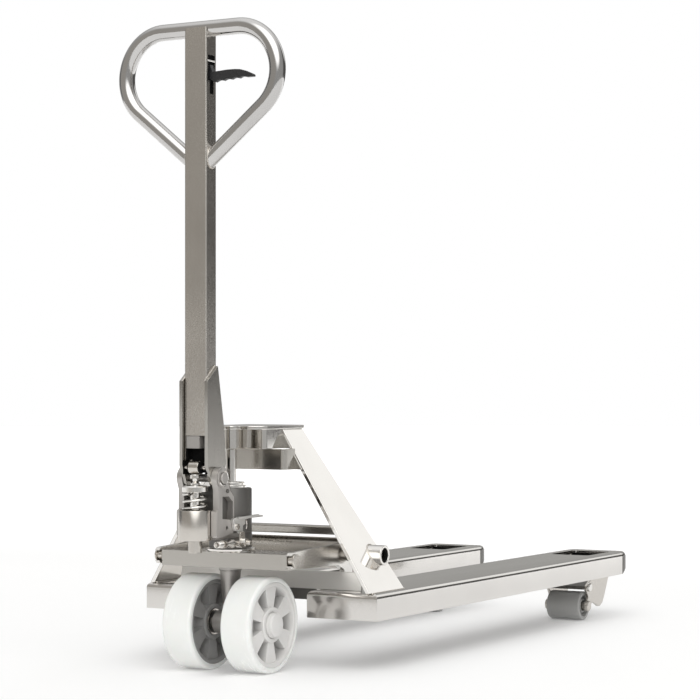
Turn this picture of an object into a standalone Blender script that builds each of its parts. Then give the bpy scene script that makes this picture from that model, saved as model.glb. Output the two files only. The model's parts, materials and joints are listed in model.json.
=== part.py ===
"""Stainless hand pallet truck: forks, A-frame, tiller, pump and rollers.

Built around the steering axis: X points to the fork tips, Y to the left, Z up.
The forks are shown partly raised.  Every piece is one closed solid.
"""

import math

import bmesh
import bpy
from mathutils import Matrix, Vector

# ---------------------------------------------------------------- dimensions
ORIGIN_SHIFT = -0.584        # moves the middle of the truck onto X = 0
GAP = 0.0003                 # clearance between pieces that touch

FORK_REAR = 0.098
FORK_SIDE_END = 1.276
FORK_NOSE = 1.318
FORK_CENTRE = 0.184
FORK_HALF = 0.076
FORK_TOP = 0.1467
FORK_BOTTOM = 0.0957
FORK_SHEET = 0.005
FORK_BEND = 0.010

LEG_THICK = 0.008
LEG_FOOT = (0.2475, 0.1470)
LEG_HEAD = (0.0620, 0.4520)
LEG_FOOT_X = (0.0925, 0.2280)
LEG_HEAD_X = (0.0873, 0.1590)

SHAFT_X = 0.182
SHAFT_Z = 0.2125
SHAFT_RADIUS = 0.0130
SHAFT_TUBE_RADIUS = 0.0300
BUSH_RADIUS = 0.0190
BUSH_BORE = 0.0138
BUSH_INNER = 0.163
BUSH_OUTER = 0.231

TRAVERSE_REAR = -0.027
TRAVERSE_FRONT = 0.056
TRAVERSE_HALF = 0.1405
TRAVERSE_BOTTOM = 0.1943
TRAVERSE_TOP = 0.2236
BOLT_X = -0.015
ARM_INNER = 0.1408
ARM_OUTER = 0.1508
CRANK_LENGTH = 0.0808

CYLINDER_RADIUS = 0.040
RAM_RADIUS = 0.0115
RAM_BORE = 0.0126
PLUNGER_X = -0.119
PUMP_RADIUS = 0.031
PIVOT_X = -0.095
PIVOT_Z = 0.365
PIVOT_RADIUS = 0.0075
LATCH_PIVOT = (-0.0560, 0.2745)

TILLER_REAR = -0.119
TILLER_DEPTH = 0.034
TILLER_HALF = 0.024
TILLER_WALL = 0.003
TILLER_FOOT = 0.398
TILLER_WINDOW = 0.443
TILLER_TOP = 1.1740
TILLER_REAR_TOP = 1.1905
EAR_INNER = 0.0243
EAR_OUTER = 0.0313
LUG_INNER = 0.0318
LUG_OUTER = 0.0438

LOOP_RADIUS = 0.0150
LOOP_X = -0.1007
LOOP_TOP = 1.1895
LOOP_HALF = 0.1654
LOOP_BEND = 0.0836
LOOP_SLOPE = math.radians(38.8)

LEVER_Y = 0.010
LEVER_Z = 1.1085
LEVER_X = (-0.107, -0.097)
CHAIN_Y = -0.0155
CHAIN_X = -0.108

WHEEL_RADIUS = 0.090
WHEEL_INNER = 0.0328
WHEEL_OUTER = 0.0958
RIM_RADIUS = 0.0795
AXLE_RADIUS = 0.010

ROLLER_X = 1.137
ROLLER_RADIUS = 0.0325
ROLLER_INNER = 0.144
ROLLER_OUTER = 0.224
BRACKET_X = 1.255
BRACKET_Z = 0.122
PLATE_IN = (0.1345, 0.1405)
PLATE_OUT = (0.2275, 0.2335)
RODPIN_X = 1.225
RODPIN_Z = 0.072
ROD_Y = (0.1190, 0.1290)


# ---------------------------------------------------------------- materials
def make_material(name, colour, metallic, roughness):
    mat = bpy.data.materials.new(name)
    mat.use_nodes = True
    shader = mat.node_tree.nodes["Principled BSDF"]
    shader.inputs["Base Color"].default_value = (*colour, 1.0)
    shader.inputs["Metallic"].default_value = metallic
    shader.inputs["Roughness"].default_value = roughness
    mat.diffuse_color = (*colour, 1.0)
    return mat


STEEL = (0.62, 0.60, 0.56)
BRIGHT = (0.78, 0.77, 0.74)
CAST = (0.42, 0.41, 0.39)
NYLON = (0.86, 0.86, 0.84)
GREY = (0.55, 0.56, 0.55)
BLACK = (0.03, 0.03, 0.03)
KINDS = {
    "steel": (STEEL, 1.0, 0.28),
    "bright": (BRIGHT, 1.0, 0.12),
    "cast": (CAST, 0.9, 0.42),
    "nylon": (NYLON, 0.0, 0.35),
    "grey": (GREY, 0.0, 0.45),
    "black": (BLACK, 0.0, 0.45),
}


# ---------------------------------------------------------------- shape tools
def place(axis, a, b, h):
    if axis == "X":
        return Vector((h, a, b))
    if axis == "Y":
        return Vector((a, h, b))
    return Vector((a, b, h))


def prism(points, axis, low, high):
    """Flat outline pushed along an axis."""
    bm = bmesh.new()
    first = [bm.verts.new(place(axis, a, b, low)) for a, b in points]
    last = [bm.verts.new(place(axis, a, b, high)) for a, b in points]
    count = len(points)
    bm.faces.new(first)
    bm.faces.new(list(reversed(last)))
    for i in range(count):
        j = (i + 1) % count
        bm.faces.new((first[i], last[i], last[j], first[j]))
    bmesh.ops.recalc_face_normals(bm, faces=bm.faces)
    return bm


def box(x, y, z):
    outline = [(x[0], y[0]), (x[1], y[0]), (x[1], y[1]), (x[0], y[1])]
    return prism(outline, "Z", z[0], z[1])


def layers(outlines, heights):
    """Closed body made of outlines with equal point counts, one per height."""
    bm = bmesh.new()
    rings = []
    for outline, height in zip(outlines, heights):
        rings.append([bm.verts.new((a, b, height)) for a, b in outline])
    count = len(outlines[0])
    bm.faces.new(rings[0])
    bm.faces.new(list(reversed(rings[-1])))
    for low, high in zip(rings, rings[1:]):
        for i in range(count):
            j = (i + 1) % count
            bm.faces.new((low[i], high[i], high[j], low[j]))
    bmesh.ops.recalc_face_normals(bm, faces=bm.faces)
    return bm


def inset(points, distance):
    """Move every edge of a counter-clockwise outline inwards."""
    count = len(points)
    result = []
    for i in range(count):
        before = Vector(points[i - 1])
        here = Vector(points[i])
        after = Vector(points[(i + 1) % count])
        d1 = (here - before).normalized()
        d2 = (after - here).normalized()
        n1 = Vector((-d1.y, d1.x))
        n2 = Vector((-d2.y, d2.x))
        bisector = (n1 + n2).normalized()
        scale = distance / max(0.3, bisector.dot(n1))
        result.append(tuple(here + bisector * scale))
    return result


def arc(centre, radius, start, end, steps):
    points = []
    for i in range(steps + 1):
        angle = math.radians(start + (end - start) * i / steps)
        points.append((centre[0] + radius * math.cos(angle),
                       centre[1] + radius * math.sin(angle)))
    return points


def lathe(profile, axis="Z", centre=(0.0, 0.0, 0.0), segments=32):
    """Turn a profile of (radius, height) pairs about an axis."""
    bm = bmesh.new()
    rings = []
    for radius, height in profile:
        if radius < 1e-7:
            rings.append([bm.verts.new(place(axis, 0.0, 0.0, height))])
            continue
        ring = []
        for i in range(segments):
            angle = 2.0 * math.pi * i / segments
            ring.append(bm.verts.new(place(axis, radius * math.cos(angle),
                                           radius * math.sin(angle), height)))
        rings.append(ring)
    closed = len(rings[0]) > 1
    pairs = list(zip(rings, rings[1:]))
    if closed:
        pairs.append((rings[-1], rings[0]))
    for one, two in pairs:
        for i in range(segments):
            j = (i + 1) % segments
            if len(one) == 1 and len(two) == 1:
                continue
            if len(one) == 1:
                bm.faces.new((one[0], two[i], two[j]))
            elif len(two) == 1:
                bm.faces.new((one[i], two[0], one[j]))
            else:
                bm.faces.new((one[i], two[i], two[j], one[j]))
    bmesh.ops.recalc_face_normals(bm, faces=bm.faces)
    bmesh.ops.translate(bm, verts=bm.verts, vec=Vector(centre))
    return bm


def rod(axis, centre, radius, low, high, segments=24, edge=0.0):
    """Solid round bar; low and high are positions along the axis."""
    a, b = centre
    start = {"X": (0.0, a, b), "Y": (a, 0.0, b), "Z": (a, b, 0.0)}[axis]
    if edge > 0.0:
        outline = [(0.0, low), (radius - edge, low), (radius, low + edge),
                   (radius, high - edge), (radius - edge, high), (0.0, high)]
    else:
        outline = [(0.0, low), (radius, low), (radius, high), (0.0, high)]
    return lathe(outline, axis, start, segments)


def ring(axis, centre, inner, outer, low, high, segments=32, edge=0.0):
    a, b = centre
    start = {"X": (0.0, a, b), "Y": (a, 0.0, b), "Z": (a, b, 0.0)}[axis]
    if edge > 0.0:
        outline = [(inner, low), (outer - edge, low), (outer, low + edge),
                   (outer, high - edge), (outer - edge, high), (inner, high)]
    else:
        outline = [(inner, low), (outer, low), (outer, high), (inner, high)]
    return lathe(outline, axis, start, segments)


def sweep(path, radius, segments):
    """Round bar that follows a path of points."""
    bm = bmesh.new()
    path = [Vector(p) for p in path]
    tangent = (path[1] - path[0]).normalized()
    side = tangent.orthogonal().normalized()
    rings = []
    for i, point in enumerate(path):
        if i == 0:
            along = (path[1] - path[0]).normalized()
        elif i == len(path) - 1:
            along = (path[-1] - path[-2]).normalized()
        else:
            along = (path[i + 1] - path[i - 1]).normalized()
        side = (side - along * side.dot(along)).normalized()
        up = along.cross(side)
        circle = []
        for k in range(segments):
            angle = 2.0 * math.pi * k / segments
            offset = side * math.cos(angle) + up * math.sin(angle)
            circle.append(bm.verts.new(point + offset * radius))
        rings.append(circle)
    bm.faces.new(rings[0])
    bm.faces.new(list(reversed(rings[-1])))
    for one, two in zip(rings, rings[1:]):
        for i in range(segments):
            j = (i + 1) % segments
            bm.faces.new((one[i], two[i], two[j], one[j]))
    bmesh.ops.recalc_face_normals(bm, faces=bm.faces)
    return bm


def soften(bm, width, limit=40.0):
    """Small chamfer on every sharp edge."""
    sharp = []
    for edge in bm.edges:
        if len(edge.link_faces) != 2:
            continue
        if edge.calc_face_angle(0.0) > math.radians(limit):
            sharp.append(edge)
    bmesh.ops.bevel(bm, geom=sharp, offset=width, segments=1,
                    profile=0.5, affect="EDGES", clamp_overlap=True)
    return bm


def temporary(bm):
    mesh = bpy.data.meshes.new("work")
    bm.to_mesh(mesh)
    bm.free()
    obj = bpy.data.objects.new("work", mesh)
    bpy.context.scene.collection.objects.link(obj)
    return obj


def combine(base, others, operation):
    """Join or cut solids one after the other."""
    current = temporary(base)
    for other in others:
        tool = temporary(other)
        step = current.modifiers.new("step", "BOOLEAN")
        step.operation = operation
        step.solver = "EXACT"
        step.object = tool
        graph = bpy.context.evaluated_depsgraph_get()
        mesh = bpy.data.meshes.new_from_object(current.evaluated_get(graph))
        result = bmesh.new()
        result.from_mesh(mesh)
        bpy.data.objects.remove(tool, do_unlink=True)
        bpy.data.objects.remove(current, do_unlink=True)
        bmesh.ops.remove_doubles(result, verts=result.verts, dist=0.00001)
        current = temporary(result)
    final = bmesh.new()
    final.from_mesh(current.data)
    bpy.data.objects.remove(current, do_unlink=True)
    return final


def join(base, *others):
    return combine(base, others, "UNION")


def cut(base, *others):
    return combine(base, others, "DIFFERENCE")


def mirrored(bm):
    """Copy of a right-hand solid for the left side."""
    copy = bm.copy()
    bmesh.ops.transform(copy, matrix=Matrix.Scale(-1.0, 4, (0, 1, 0)),
                        verts=copy.verts)
    bmesh.ops.reverse_faces(copy, faces=copy.faces)
    return copy


def add_part(name, bm, kind, origin=(0.0, 0.0, 0.0)):
    """Finish a solid as a named object with its origin at the given point."""
    bmesh.ops.recalc_face_normals(bm, faces=bm.faces)
    bmesh.ops.translate(bm, verts=bm.verts, vec=-Vector(origin))
    mesh = bpy.data.meshes.new(name)
    bm.to_mesh(mesh)
    bm.free()
    mesh.shade_smooth()
    mesh.set_sharp_from_angle(angle=math.radians(32.0))
    colour, metallic, roughness = KINDS[kind]
    mesh.materials.append(make_material("mat_" + name, colour, metallic, roughness))
    obj = bpy.data.objects.new(name, mesh)
    obj.location = Vector(origin) + Vector((ORIGIN_SHIFT, 0.0, 0.0))
    bpy.context.scene.collection.objects.link(obj)
    return obj


def add_pair(stem, bm, kind, origin=(0.0, 0.0, 0.0)):
    """Right piece as drawn (negative Y) and its mirror image on the left."""
    left = mirrored(bm)
    add_part(stem + "_right", bm, kind, origin)
    add_part(stem + "_left", left, kind, (origin[0], -origin[1], origin[2]))


# ---------------------------------------------------------------- frame
def fork_outline():
    half = FORK_HALF
    centre = -FORK_CENTRE
    side = [(FORK_REAR, -half), (FORK_SIDE_END, -half), (1.3035, -0.0725),
            (1.3140, -0.0665), (FORK_NOSE, -0.0560)]
    points = side + [(x, -y) for x, y in reversed(side)]
    return [(x, y + centre) for x, y in points]


def build_forks():
    outline = fork_outline()
    outlines = [outline]
    heights = [FORK_BOTTOM]
    for i in range(4):
        angle = math.radians(90.0 * i / 3.0)
        outlines.append(inset(outline, FORK_BEND * (1.0 - math.cos(angle)) + 1e-6))
        heights.append(FORK_TOP - FORK_BEND + FORK_BEND * math.sin(angle))
    shell = layers(outlines, heights)
    inner = inset(outline, FORK_SHEET)
    hollow = prism(inner, "Z", FORK_BOTTOM - 0.02, FORK_TOP - FORK_SHEET)
    wedge = prism([(FORK_SIDE_END, FORK_BOTTOM), (1.335, FORK_BOTTOM + 0.0165),
                   (1.335, FORK_BOTTOM - 0.02), (FORK_SIDE_END, FORK_BOTTOM - 0.02)],
                  "Y", -0.30, -0.05)
    centre = -FORK_CENTRE
    corner = 0.010
    slot_x = (1.142, 1.272)
    slot_y = (centre - 0.047, centre + 0.047)
    slot = []
    slot += arc((slot_x[1] - corner, slot_y[1] - corner), corner, 0, 90, 4)
    slot += arc((slot_x[0] + corner, slot_y[1] - corner), corner, 90, 180, 4)
    slot += arc((slot_x[0] + corner, slot_y[0] + corner), corner, 180, 270, 4)
    slot += arc((slot_x[1] - corner, slot_y[0] + corner), corner, 270, 360, 4)
    roller_slot = prism(slot, "Z", FORK_TOP - 0.02, FORK_TOP + 0.01)
    crank_slot = box((0.147, 0.215), (-0.1538, -0.1378), (FORK_TOP - 0.02, FORK_TOP + 0.01))
    fork = cut(shell, hollow, wedge, roller_slot, crank_slot)
    add_pair("fork", fork, "bright")


def leg_side(height, outer=True):
    """Distance of the leg face from the middle plane at a given height."""
    share = (height - LEG_FOOT[1]) / (LEG_HEAD[1] - LEG_FOOT[1])
    face = LEG_FOOT[0] + (LEG_HEAD[0] - LEG_FOOT[0]) * share
    run = LEG_FOOT[0] - LEG_HEAD[0]
    rise = LEG_HEAD[1] - LEG_FOOT[1]
    depth = LEG_THICK * math.hypot(run, rise) / rise
    return face if outer else face - depth


def build_legs():
    bm = bmesh.new()
    rings = []
    for height, reach in ((LEG_FOOT[1], LEG_FOOT_X), (LEG_HEAD[1], LEG_HEAD_X)):
        outer = -leg_side(height)
        inner = -leg_side(height, False)
        corners = [(reach[0], outer), (reach[1], outer), (reach[1], inner),
                   (reach[0], inner)]
        rings.append([bm.verts.new((x, y, height)) for x, y in corners])
    bm.faces.new(rings[0])
    bm.faces.new(list(reversed(rings[1])))
    for i in range(4):
        j = (i + 1) % 4
        bm.faces.new((rings[0][i], rings[1][i], rings[1][j], rings[0][j]))
    bmesh.ops.recalc_face_normals(bm, faces=bm.faces)
    soften(bm, 0.0010)
    hole = rod("Y", (SHAFT_X, SHAFT_Z), BUSH_RADIUS + GAP, -0.26, -0.15, 28)
    leg = cut(bm, hole)
    add_pair("leg", leg, "bright")


def build_head():
    side = [(0.1610, -0.0650), (0.1610, 0.0650)]
    left = [(0.0300, 0.0645), (0.0180, 0.0560), (0.0040, 0.0240)]
    nose = arc((0.0, 0.0), 0.0170, 75, 285, 10)
    right = [(0.0040, -0.0240), (0.0180, -0.0560), (0.0300, -0.0645)]
    plan = side + left + nose + right
    cap = soften(prism(plan, "Z", 0.4523, 0.4592), 0.0012, 60.0)
    add_part("head_cap", cap, "bright")

    boss = [(0.0, 0.4158), (0.0137, 0.4158), (0.0147, 0.4168), (0.0147, 0.4520),
            (0.0, 0.4520)]
    add_part("head_boss", lathe(boss, segments=28), "bright")

    shell = bent_wall(0.0250, 0.0605, 0.0868, 0.0040, 0.0090, 0.4158, 0.4520)
    add_part("head_shell", shell, "steel")
    chest = bent_wall(0.0500, 0.0892, 0.0870, 0.0050, 0.0100, 0.3762, 0.4154)
    add_part("chest_beam", chest, "steel")


def bent_wall(rear, half, front, sheet, bend, low, high):
    """Sheet folded twice into a U that opens to the front."""
    outer = [(front, -half)]
    outer += arc((rear + bend, -half + bend), bend, 270, 180, 4)
    outer += arc((rear + bend, half - bend), bend, 180, 90, 4)
    outer += [(front, half)]
    tight = bend - sheet
    inner = [(front, half - sheet)]
    inner += arc((rear + bend, half - bend), tight, 90, 180, 4)
    inner += arc((rear + bend, -half + bend), tight, 180, 270, 4)
    inner += [(front, -half + sheet)]
    return prism(outer + inner, "Z", low, high)


def build_braces():
    low, high = 0.2487, 0.2642
    reach_low = leg_side(low, False) - GAP
    reach_high = leg_side(high, False) - GAP
    outline = [(-reach_low, low), (reach_low, low), (reach_high, high),
               (-reach_high, high)]
    brace = soften(prism(outline, "X", 0.165, 0.205), 0.0015)
    add_part("upper_brace", brace, "bright")

    plate = prism([(0.1340, 0.1470), (0.1385, 0.1470), (0.1475, 0.1810),
                   (0.1430, 0.1810)], "Y", -0.205, 0.205)
    add_part("lower_cross_plate", plate, "bright")


def build_bushes():
    bush = ring("Y", (SHAFT_X, SHAFT_Z), BUSH_BORE, BUSH_RADIUS,
                -BUSH_OUTER, -BUSH_INNER, 28, 0.0008)
    add_pair("shaft_bush", bush, "bright")


def build_ram():
    ram = [(0.0, 0.3000), (RAM_RADIUS - 0.001, 0.3000), (RAM_RADIUS, 0.3010),
           (RAM_RADIUS, 0.4145), (RAM_RADIUS - 0.001, 0.4155), (0.0, 0.4155)]
    add_part("lift_ram", lathe(ram, segments=24), "bright")


def build_bracket_pins():
    pin = rod("Y", (BRACKET_X, BRACKET_Z), 0.006, -0.2547, -0.1133, 16)
    add_pair("bracket_pin", pin, "steel")


# ---------------------------------------------------------------- rocker
def build_rocker():
    outline = [(0.0, -0.2220), (SHAFT_RADIUS - 0.001, -0.2220),
               (SHAFT_RADIUS, -0.2210), (SHAFT_RADIUS, -0.1400),
               (SHAFT_TUBE_RADIUS - 0.001, -0.1400), (SHAFT_TUBE_RADIUS, -0.1390)]
    mirror = [(r, -y) for r, y in reversed(outline)]
    shaft = lathe(outline + mirror, "Y", (SHAFT_X, 0.0, SHAFT_Z), 20)
    add_part("torsion_shaft", shaft, "steel", (SHAFT_X, 0.0, SHAFT_Z))

    hub = (SHAFT_X, SHAFT_Z)
    foot = (SHAFT_X, SHAFT_Z - CRANK_LENGTH)
    rear = BOLT_X - 0.0155
    jaw = 0.0094
    outline = []
    outline += arc(foot, 0.0125, 180, 360, 8)
    outline += [(SHAFT_X + 0.0160, SHAFT_Z - 0.0290)]
    outline += arc(hub, 0.0290, -40, 130, 12)
    outline += [(BOLT_X + 0.030, SHAFT_Z + 0.0170)]
    outline += [(rear + 0.005, SHAFT_Z + 0.0150), (rear, SHAFT_Z + jaw + 0.001)]
    outline += [(rear, SHAFT_Z + jaw)]
    outline += arc((BOLT_X + 0.002, SHAFT_Z), jaw, 90, -90, 8)
    outline += [(rear, SHAFT_Z - jaw)]
    outline += [(rear, SHAFT_Z - jaw - 0.001), (rear + 0.005, SHAFT_Z - 0.0150)]
    outline += [(BOLT_X + 0.030, SHAFT_Z - 0.0170), (SHAFT_X - 0.040, SHAFT_Z - 0.0190)]
    outline += [(SHAFT_X - 0.0160, SHAFT_Z - 0.0290)]
    arm = prism(outline, "Y", -ARM_OUTER, -ARM_INNER)
    hole = rod("Y", hub, SHAFT_RADIUS + 0.0005, -0.17, -0.12, 20)
    pin = rod("Y", foot, 0.006, -ARM_INNER - 0.004, -0.1185, 20)
    arm = join(cut(arm, hole), pin)
    add_pair("rocker_arm", arm, "bright", (SHAFT_X, -0.1458, SHAFT_Z))


def build_push_rods():
    low, high = ROD_Y
    y_low, y_high = -high, -low
    crank_z = SHAFT_Z - CRANK_LENGTH
    rear = [(SHAFT_X - 0.0155, crank_z - 0.0135), (SHAFT_X + 0.0240, crank_z - 0.0135),
            (SHAFT_X + 0.0240, crank_z + 0.0083), (SHAFT_X + 0.0095, crank_z + 0.0083),
            (SHAFT_X + 0.0095, crank_z - 0.0068), (SHAFT_X - 0.0095, crank_z - 0.0068),
            (SHAFT_X - 0.0095, crank_z + 0.0083), (SHAFT_X - 0.0155, crank_z + 0.0083)]
    end = prism(rear, "Y", y_low, y_high)
    front = [(RODPIN_X - 0.0210, 0.0620), (RODPIN_X - 0.0095, 0.0620),
             (RODPIN_X - 0.0095, 0.1000), (RODPIN_X + 0.0095, 0.1000),
             (RODPIN_X + 0.0095, 0.0620), (RODPIN_X + 0.0180, 0.0620),
             (RODPIN_X + 0.0180, 0.1120), (RODPIN_X - 0.0080, 0.1120),
             (RODPIN_X - 0.0080, 0.1330), (RODPIN_X - 0.0210, 0.1330)]
    jaw = prism(front, "Y", y_low, y_high)
    middle = 0.5 * (y_low + y_high)
    bar = rod("X", (middle, 0.1255), 0.0058, SHAFT_X + 0.020, RODPIN_X - 0.015, 16)
    push = join(bar, end, jaw)
    add_pair("push_rod", push, "steel", (SHAFT_X, middle, 0.1255))


# ---------------------------------------------------------------- load rollers
def build_roller_brackets():
    outline = []
    outline += arc((BRACKET_X, BRACKET_Z), 0.0175, -20, 110, 8)
    outline += [(1.1640, 0.0960), (1.1300, 0.0780), (1.1280, 0.0700), (1.1400, 0.0520)]
    outline += arc((ROLLER_X, ROLLER_RADIUS), 0.0125, 100, 320, 6)
    outline += [(1.1620, 0.0400), (1.1800, 0.0340), (1.1960, 0.0270), (1.2060, 0.0262)]
    outline += [(1.2200, 0.0330), (1.2300, 0.0460), (1.2440, 0.0700)]
    bodies = []
    for low, high in (PLATE_IN, PLATE_OUT):
        bodies.append(prism(outline, "Y", -high, -low))
    tube = rod("Y", (BRACKET_X, BRACKET_Z), 0.0110, -0.2300, -0.1380, 16)
    pin = rod("Y", (RODPIN_X, RODPIN_Z), 0.0060, -0.1400, -0.1185, 12)
    body = join(tube, bodies[0], bodies[1], pin)
    pivot = rod("Y", (BRACKET_X, BRACKET_Z), 0.0066, -0.26, -0.11, 16)
    hole = rod("Y", (ROLLER_X, ROLLER_RADIUS), 0.0090, -0.26, -0.11, 16)
    bolt = rod("Y", (1.1410, 0.0745), 0.0065, -0.26, -0.11, 16)
    body = cut(body, pivot, hole, bolt)
    add_pair("roller_bracket", body, "steel", (BRACKET_X, -FORK_CENTRE, BRACKET_Z))

    shank = [(0.0, -0.2390), (0.0088, -0.2390), (0.0098, -0.2378), (0.0098, -0.2338),
             (0.0060, -0.2338), (0.0060, -0.1342), (0.0095, -0.1342),
             (0.0095, -0.1305), (0.0, -0.1305)]
    bolt = lathe(shank, "Y", (1.1410, 0.0, 0.0745), 16)
    add_pair("bracket_bolt", bolt, "bright", (1.1410, -FORK_CENTRE, 0.0745))

    shank = [(0.0, -0.2375), (0.0110, -0.2375), (0.0120, -0.2365), (0.0120, -0.2338),
             (0.0085, -0.2338), (0.0085, -0.1342), (0.0120, -0.1342),
             (0.0120, -0.1315), (0.0, -0.1315)]
    axle = lathe(shank, "Y", (ROLLER_X, 0.0, ROLLER_RADIUS), 16)
    add_pair("load_axle", axle, "steel", (ROLLER_X, -FORK_CENTRE, ROLLER_RADIUS))

    low, high = -ROLLER_OUTER, -ROLLER_INNER
    cup = 0.010
    turned = [(0.0090, low + cup), (0.0160, low + cup), (0.0235, low + 0.0015),
              (0.0250, low), (ROLLER_RADIUS - 0.003, low), (ROLLER_RADIUS, low + 0.003),
              (ROLLER_RADIUS, high - 0.003), (ROLLER_RADIUS - 0.003, high),
              (0.0250, high), (0.0235, high - 0.0015), (0.0160, high - cup),
              (0.0090, high - cup)]
    roller = lathe(turned, "Y", (ROLLER_X, 0.0, ROLLER_RADIUS), 24)
    add_pair("load_roller", roller, "grey", (ROLLER_X, -FORK_CENTRE, ROLLER_RADIUS))


# ---------------------------------------------------------------- traverse
def build_traverse():
    half = TRAVERSE_HALF
    plan = [(TRAVERSE_FRONT, -half + 0.030), (TRAVERSE_FRONT, half - 0.030),
            (0.0350, half), (-0.0220, half), (TRAVERSE_REAR, half - 0.005),
            (TRAVERSE_REAR, -half + 0.005), (-0.0220, -half), (0.0350, -half)]
    plate = soften(prism(plan, "Z", TRAVERSE_BOTTOM, TRAVERSE_TOP), 0.0015)
    bore = rod("Z", (0.0, 0.0), 0.0226, 0.18, 0.24, 32)
    right = rod("Y", (BOLT_X, SHAFT_Z), 0.0085, -0.16, -0.119, 20)
    left = rod("Y", (BOLT_X, SHAFT_Z), 0.0085, 0.119, 0.16, 20)
    add_part("traverse_plate", cut(plate, bore, right, left), "steel")

    shank = [(0.0, -0.1545), (0.0117, -0.1545), (0.0127, -0.1535), (0.0127, -0.1513),
             (0.0080, -0.1513), (0.0080, -0.1195), (0.0, -0.1195)]
    bolt = lathe(shank, "Y", (BOLT_X, 0.0, SHAFT_Z), 20)
    add_pair("traverse_bolt", bolt, "bright")

    race = ring("Z", (0.0, 0.0), 0.0224, 0.0470, TRAVERSE_TOP + GAP, 0.2302, 28, 0.0012)
    add_part("thrust_bearing", race, "bright")


# ---------------------------------------------------------------- pump unit
def build_pump_casting():
    base = lathe([(0.0, 0.2305), (0.0385, 0.2305), (CYLINDER_RADIUS, 0.2320),
                  (CYLINDER_RADIUS, 0.2614), (0.0, 0.2614)], segments=32)
    web = box((-0.1000, -0.0100), (-0.0330, 0.0330), (0.2520, 0.2612))
    wall = box((-0.0860, -0.0420), (-0.0330, 0.0330), (0.2550, 0.3040))
    pivot = (PIVOT_X, PIVOT_Z)
    cheek = [(-0.1150, 0.2600), (-0.1100, 0.2560), (-0.0850, 0.2585), (-0.0600, 0.2640),
             (-0.0470, 0.2700), (-0.0450, 0.2760), (-0.0500, 0.2830), (-0.0560, 0.2850),
             (-0.0560, 0.3290), (-0.0700, 0.3420), (-0.0720, 0.3500)]
    cheek += arc(pivot, 0.0205, -20, 200, 14)
    cheek += [(-0.1085, 0.3440), (-0.1085, 0.3075), (-0.1150, 0.3050)]
    right = prism(cheek, "Y", -LUG_OUTER, -LUG_INNER)
    left = prism(cheek, "Y", LUG_INNER, LUG_OUTER)
    body = join(base, web, wall, right, left)
    well = rod("Z", (PLUNGER_X, 0.0), PUMP_RADIUS + GAP, 0.20, 0.42, 28)
    bore = rod("Z", (0.0, 0.0), RAM_BORE, 0.2430, 0.30, 24)
    sleeve = rod("Z", (0.0, 0.0), CYLINDER_RADIUS + GAP, 0.2616, 0.36, 32)
    pin = rod("Y", pivot, PIVOT_RADIUS + GAP, -0.06, 0.06, 20)
    window = prism([(-0.0953, 0.3310), (-0.0740, 0.3310), (-0.0600, 0.3210),
                    (-0.0600, 0.2865), (-0.0953, 0.2905)], "Y", -0.06, 0.06)
    empty = rod("Y", (-0.0800, 0.2735), 0.0034, -0.06, 0.06, 16)
    lug = rod("Y", LATCH_PIVOT, 0.0043, -0.06, -0.0345, 16)
    body = cut(body, well, bore, sleeve, pin, window, empty, lug)
    add_part("pump_casting", body, "cast")


def build_cylinders():
    main = [(RAM_BORE, 0.2618), (CYLINDER_RADIUS, 0.2618), (CYLINDER_RADIUS, 0.3410),
            (CYLINDER_RADIUS - 0.0025, 0.3435), (RAM_BORE, 0.3435)]
    add_part("main_cylinder", lathe(main, segments=32), "cast")
    collar = [(RAM_BORE, 0.3438), (0.0310, 0.3438), (0.0310, 0.3478), (0.0270, 0.3482),
              (0.0270, 0.3530), (0.0258, 0.3543), (RAM_BORE, 0.3543)]
    add_part("cylinder_collar", lathe(collar, segments=24), "bright")
    pump = [(0.0, 0.2285), (0.0118, 0.2285), (0.0128, 0.2295), (0.0128, 0.2510),
            (0.0295, 0.2510), (PUMP_RADIUS, 0.2525), (PUMP_RADIUS, 0.3055),
            (PUMP_RADIUS - 0.0015, 0.3070), (0.0245, 0.3070), (0.0245, 0.2620),
            (0.0094, 0.2620), (0.0094, 0.2405), (0.0, 0.2405)]
    add_part("pump_cylinder", lathe(pump, centre=(PLUNGER_X, 0.0, 0.0), segments=24), "steel")


def build_steering_post():
    post = [(0.0, 0.2302), (0.0220, 0.2302), (0.0220, 0.1900), (0.0205, 0.1880),
            (0.0195, 0.1860), (0.0150, 0.1250), (0.0150, 0.0900), (0.0, 0.0900)]
    boss = rod("Y", (0.0, 0.0900), 0.0215, -0.0290, 0.0290, 24, 0.0015)
    axle = rod("Y", (0.0, 0.0900), AXLE_RADIUS + GAP, -0.05, 0.05, 20)
    add_part("steering_post", cut(join(lathe(post, segments=24), boss), axle), "cast")
    bar = rod("Y", (0.0, 0.0900), AXLE_RADIUS, -0.0880, 0.0880, 20, 0.001)
    add_part("steer_axle", bar, "steel", (0.0, 0.0, 0.0900))


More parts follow.
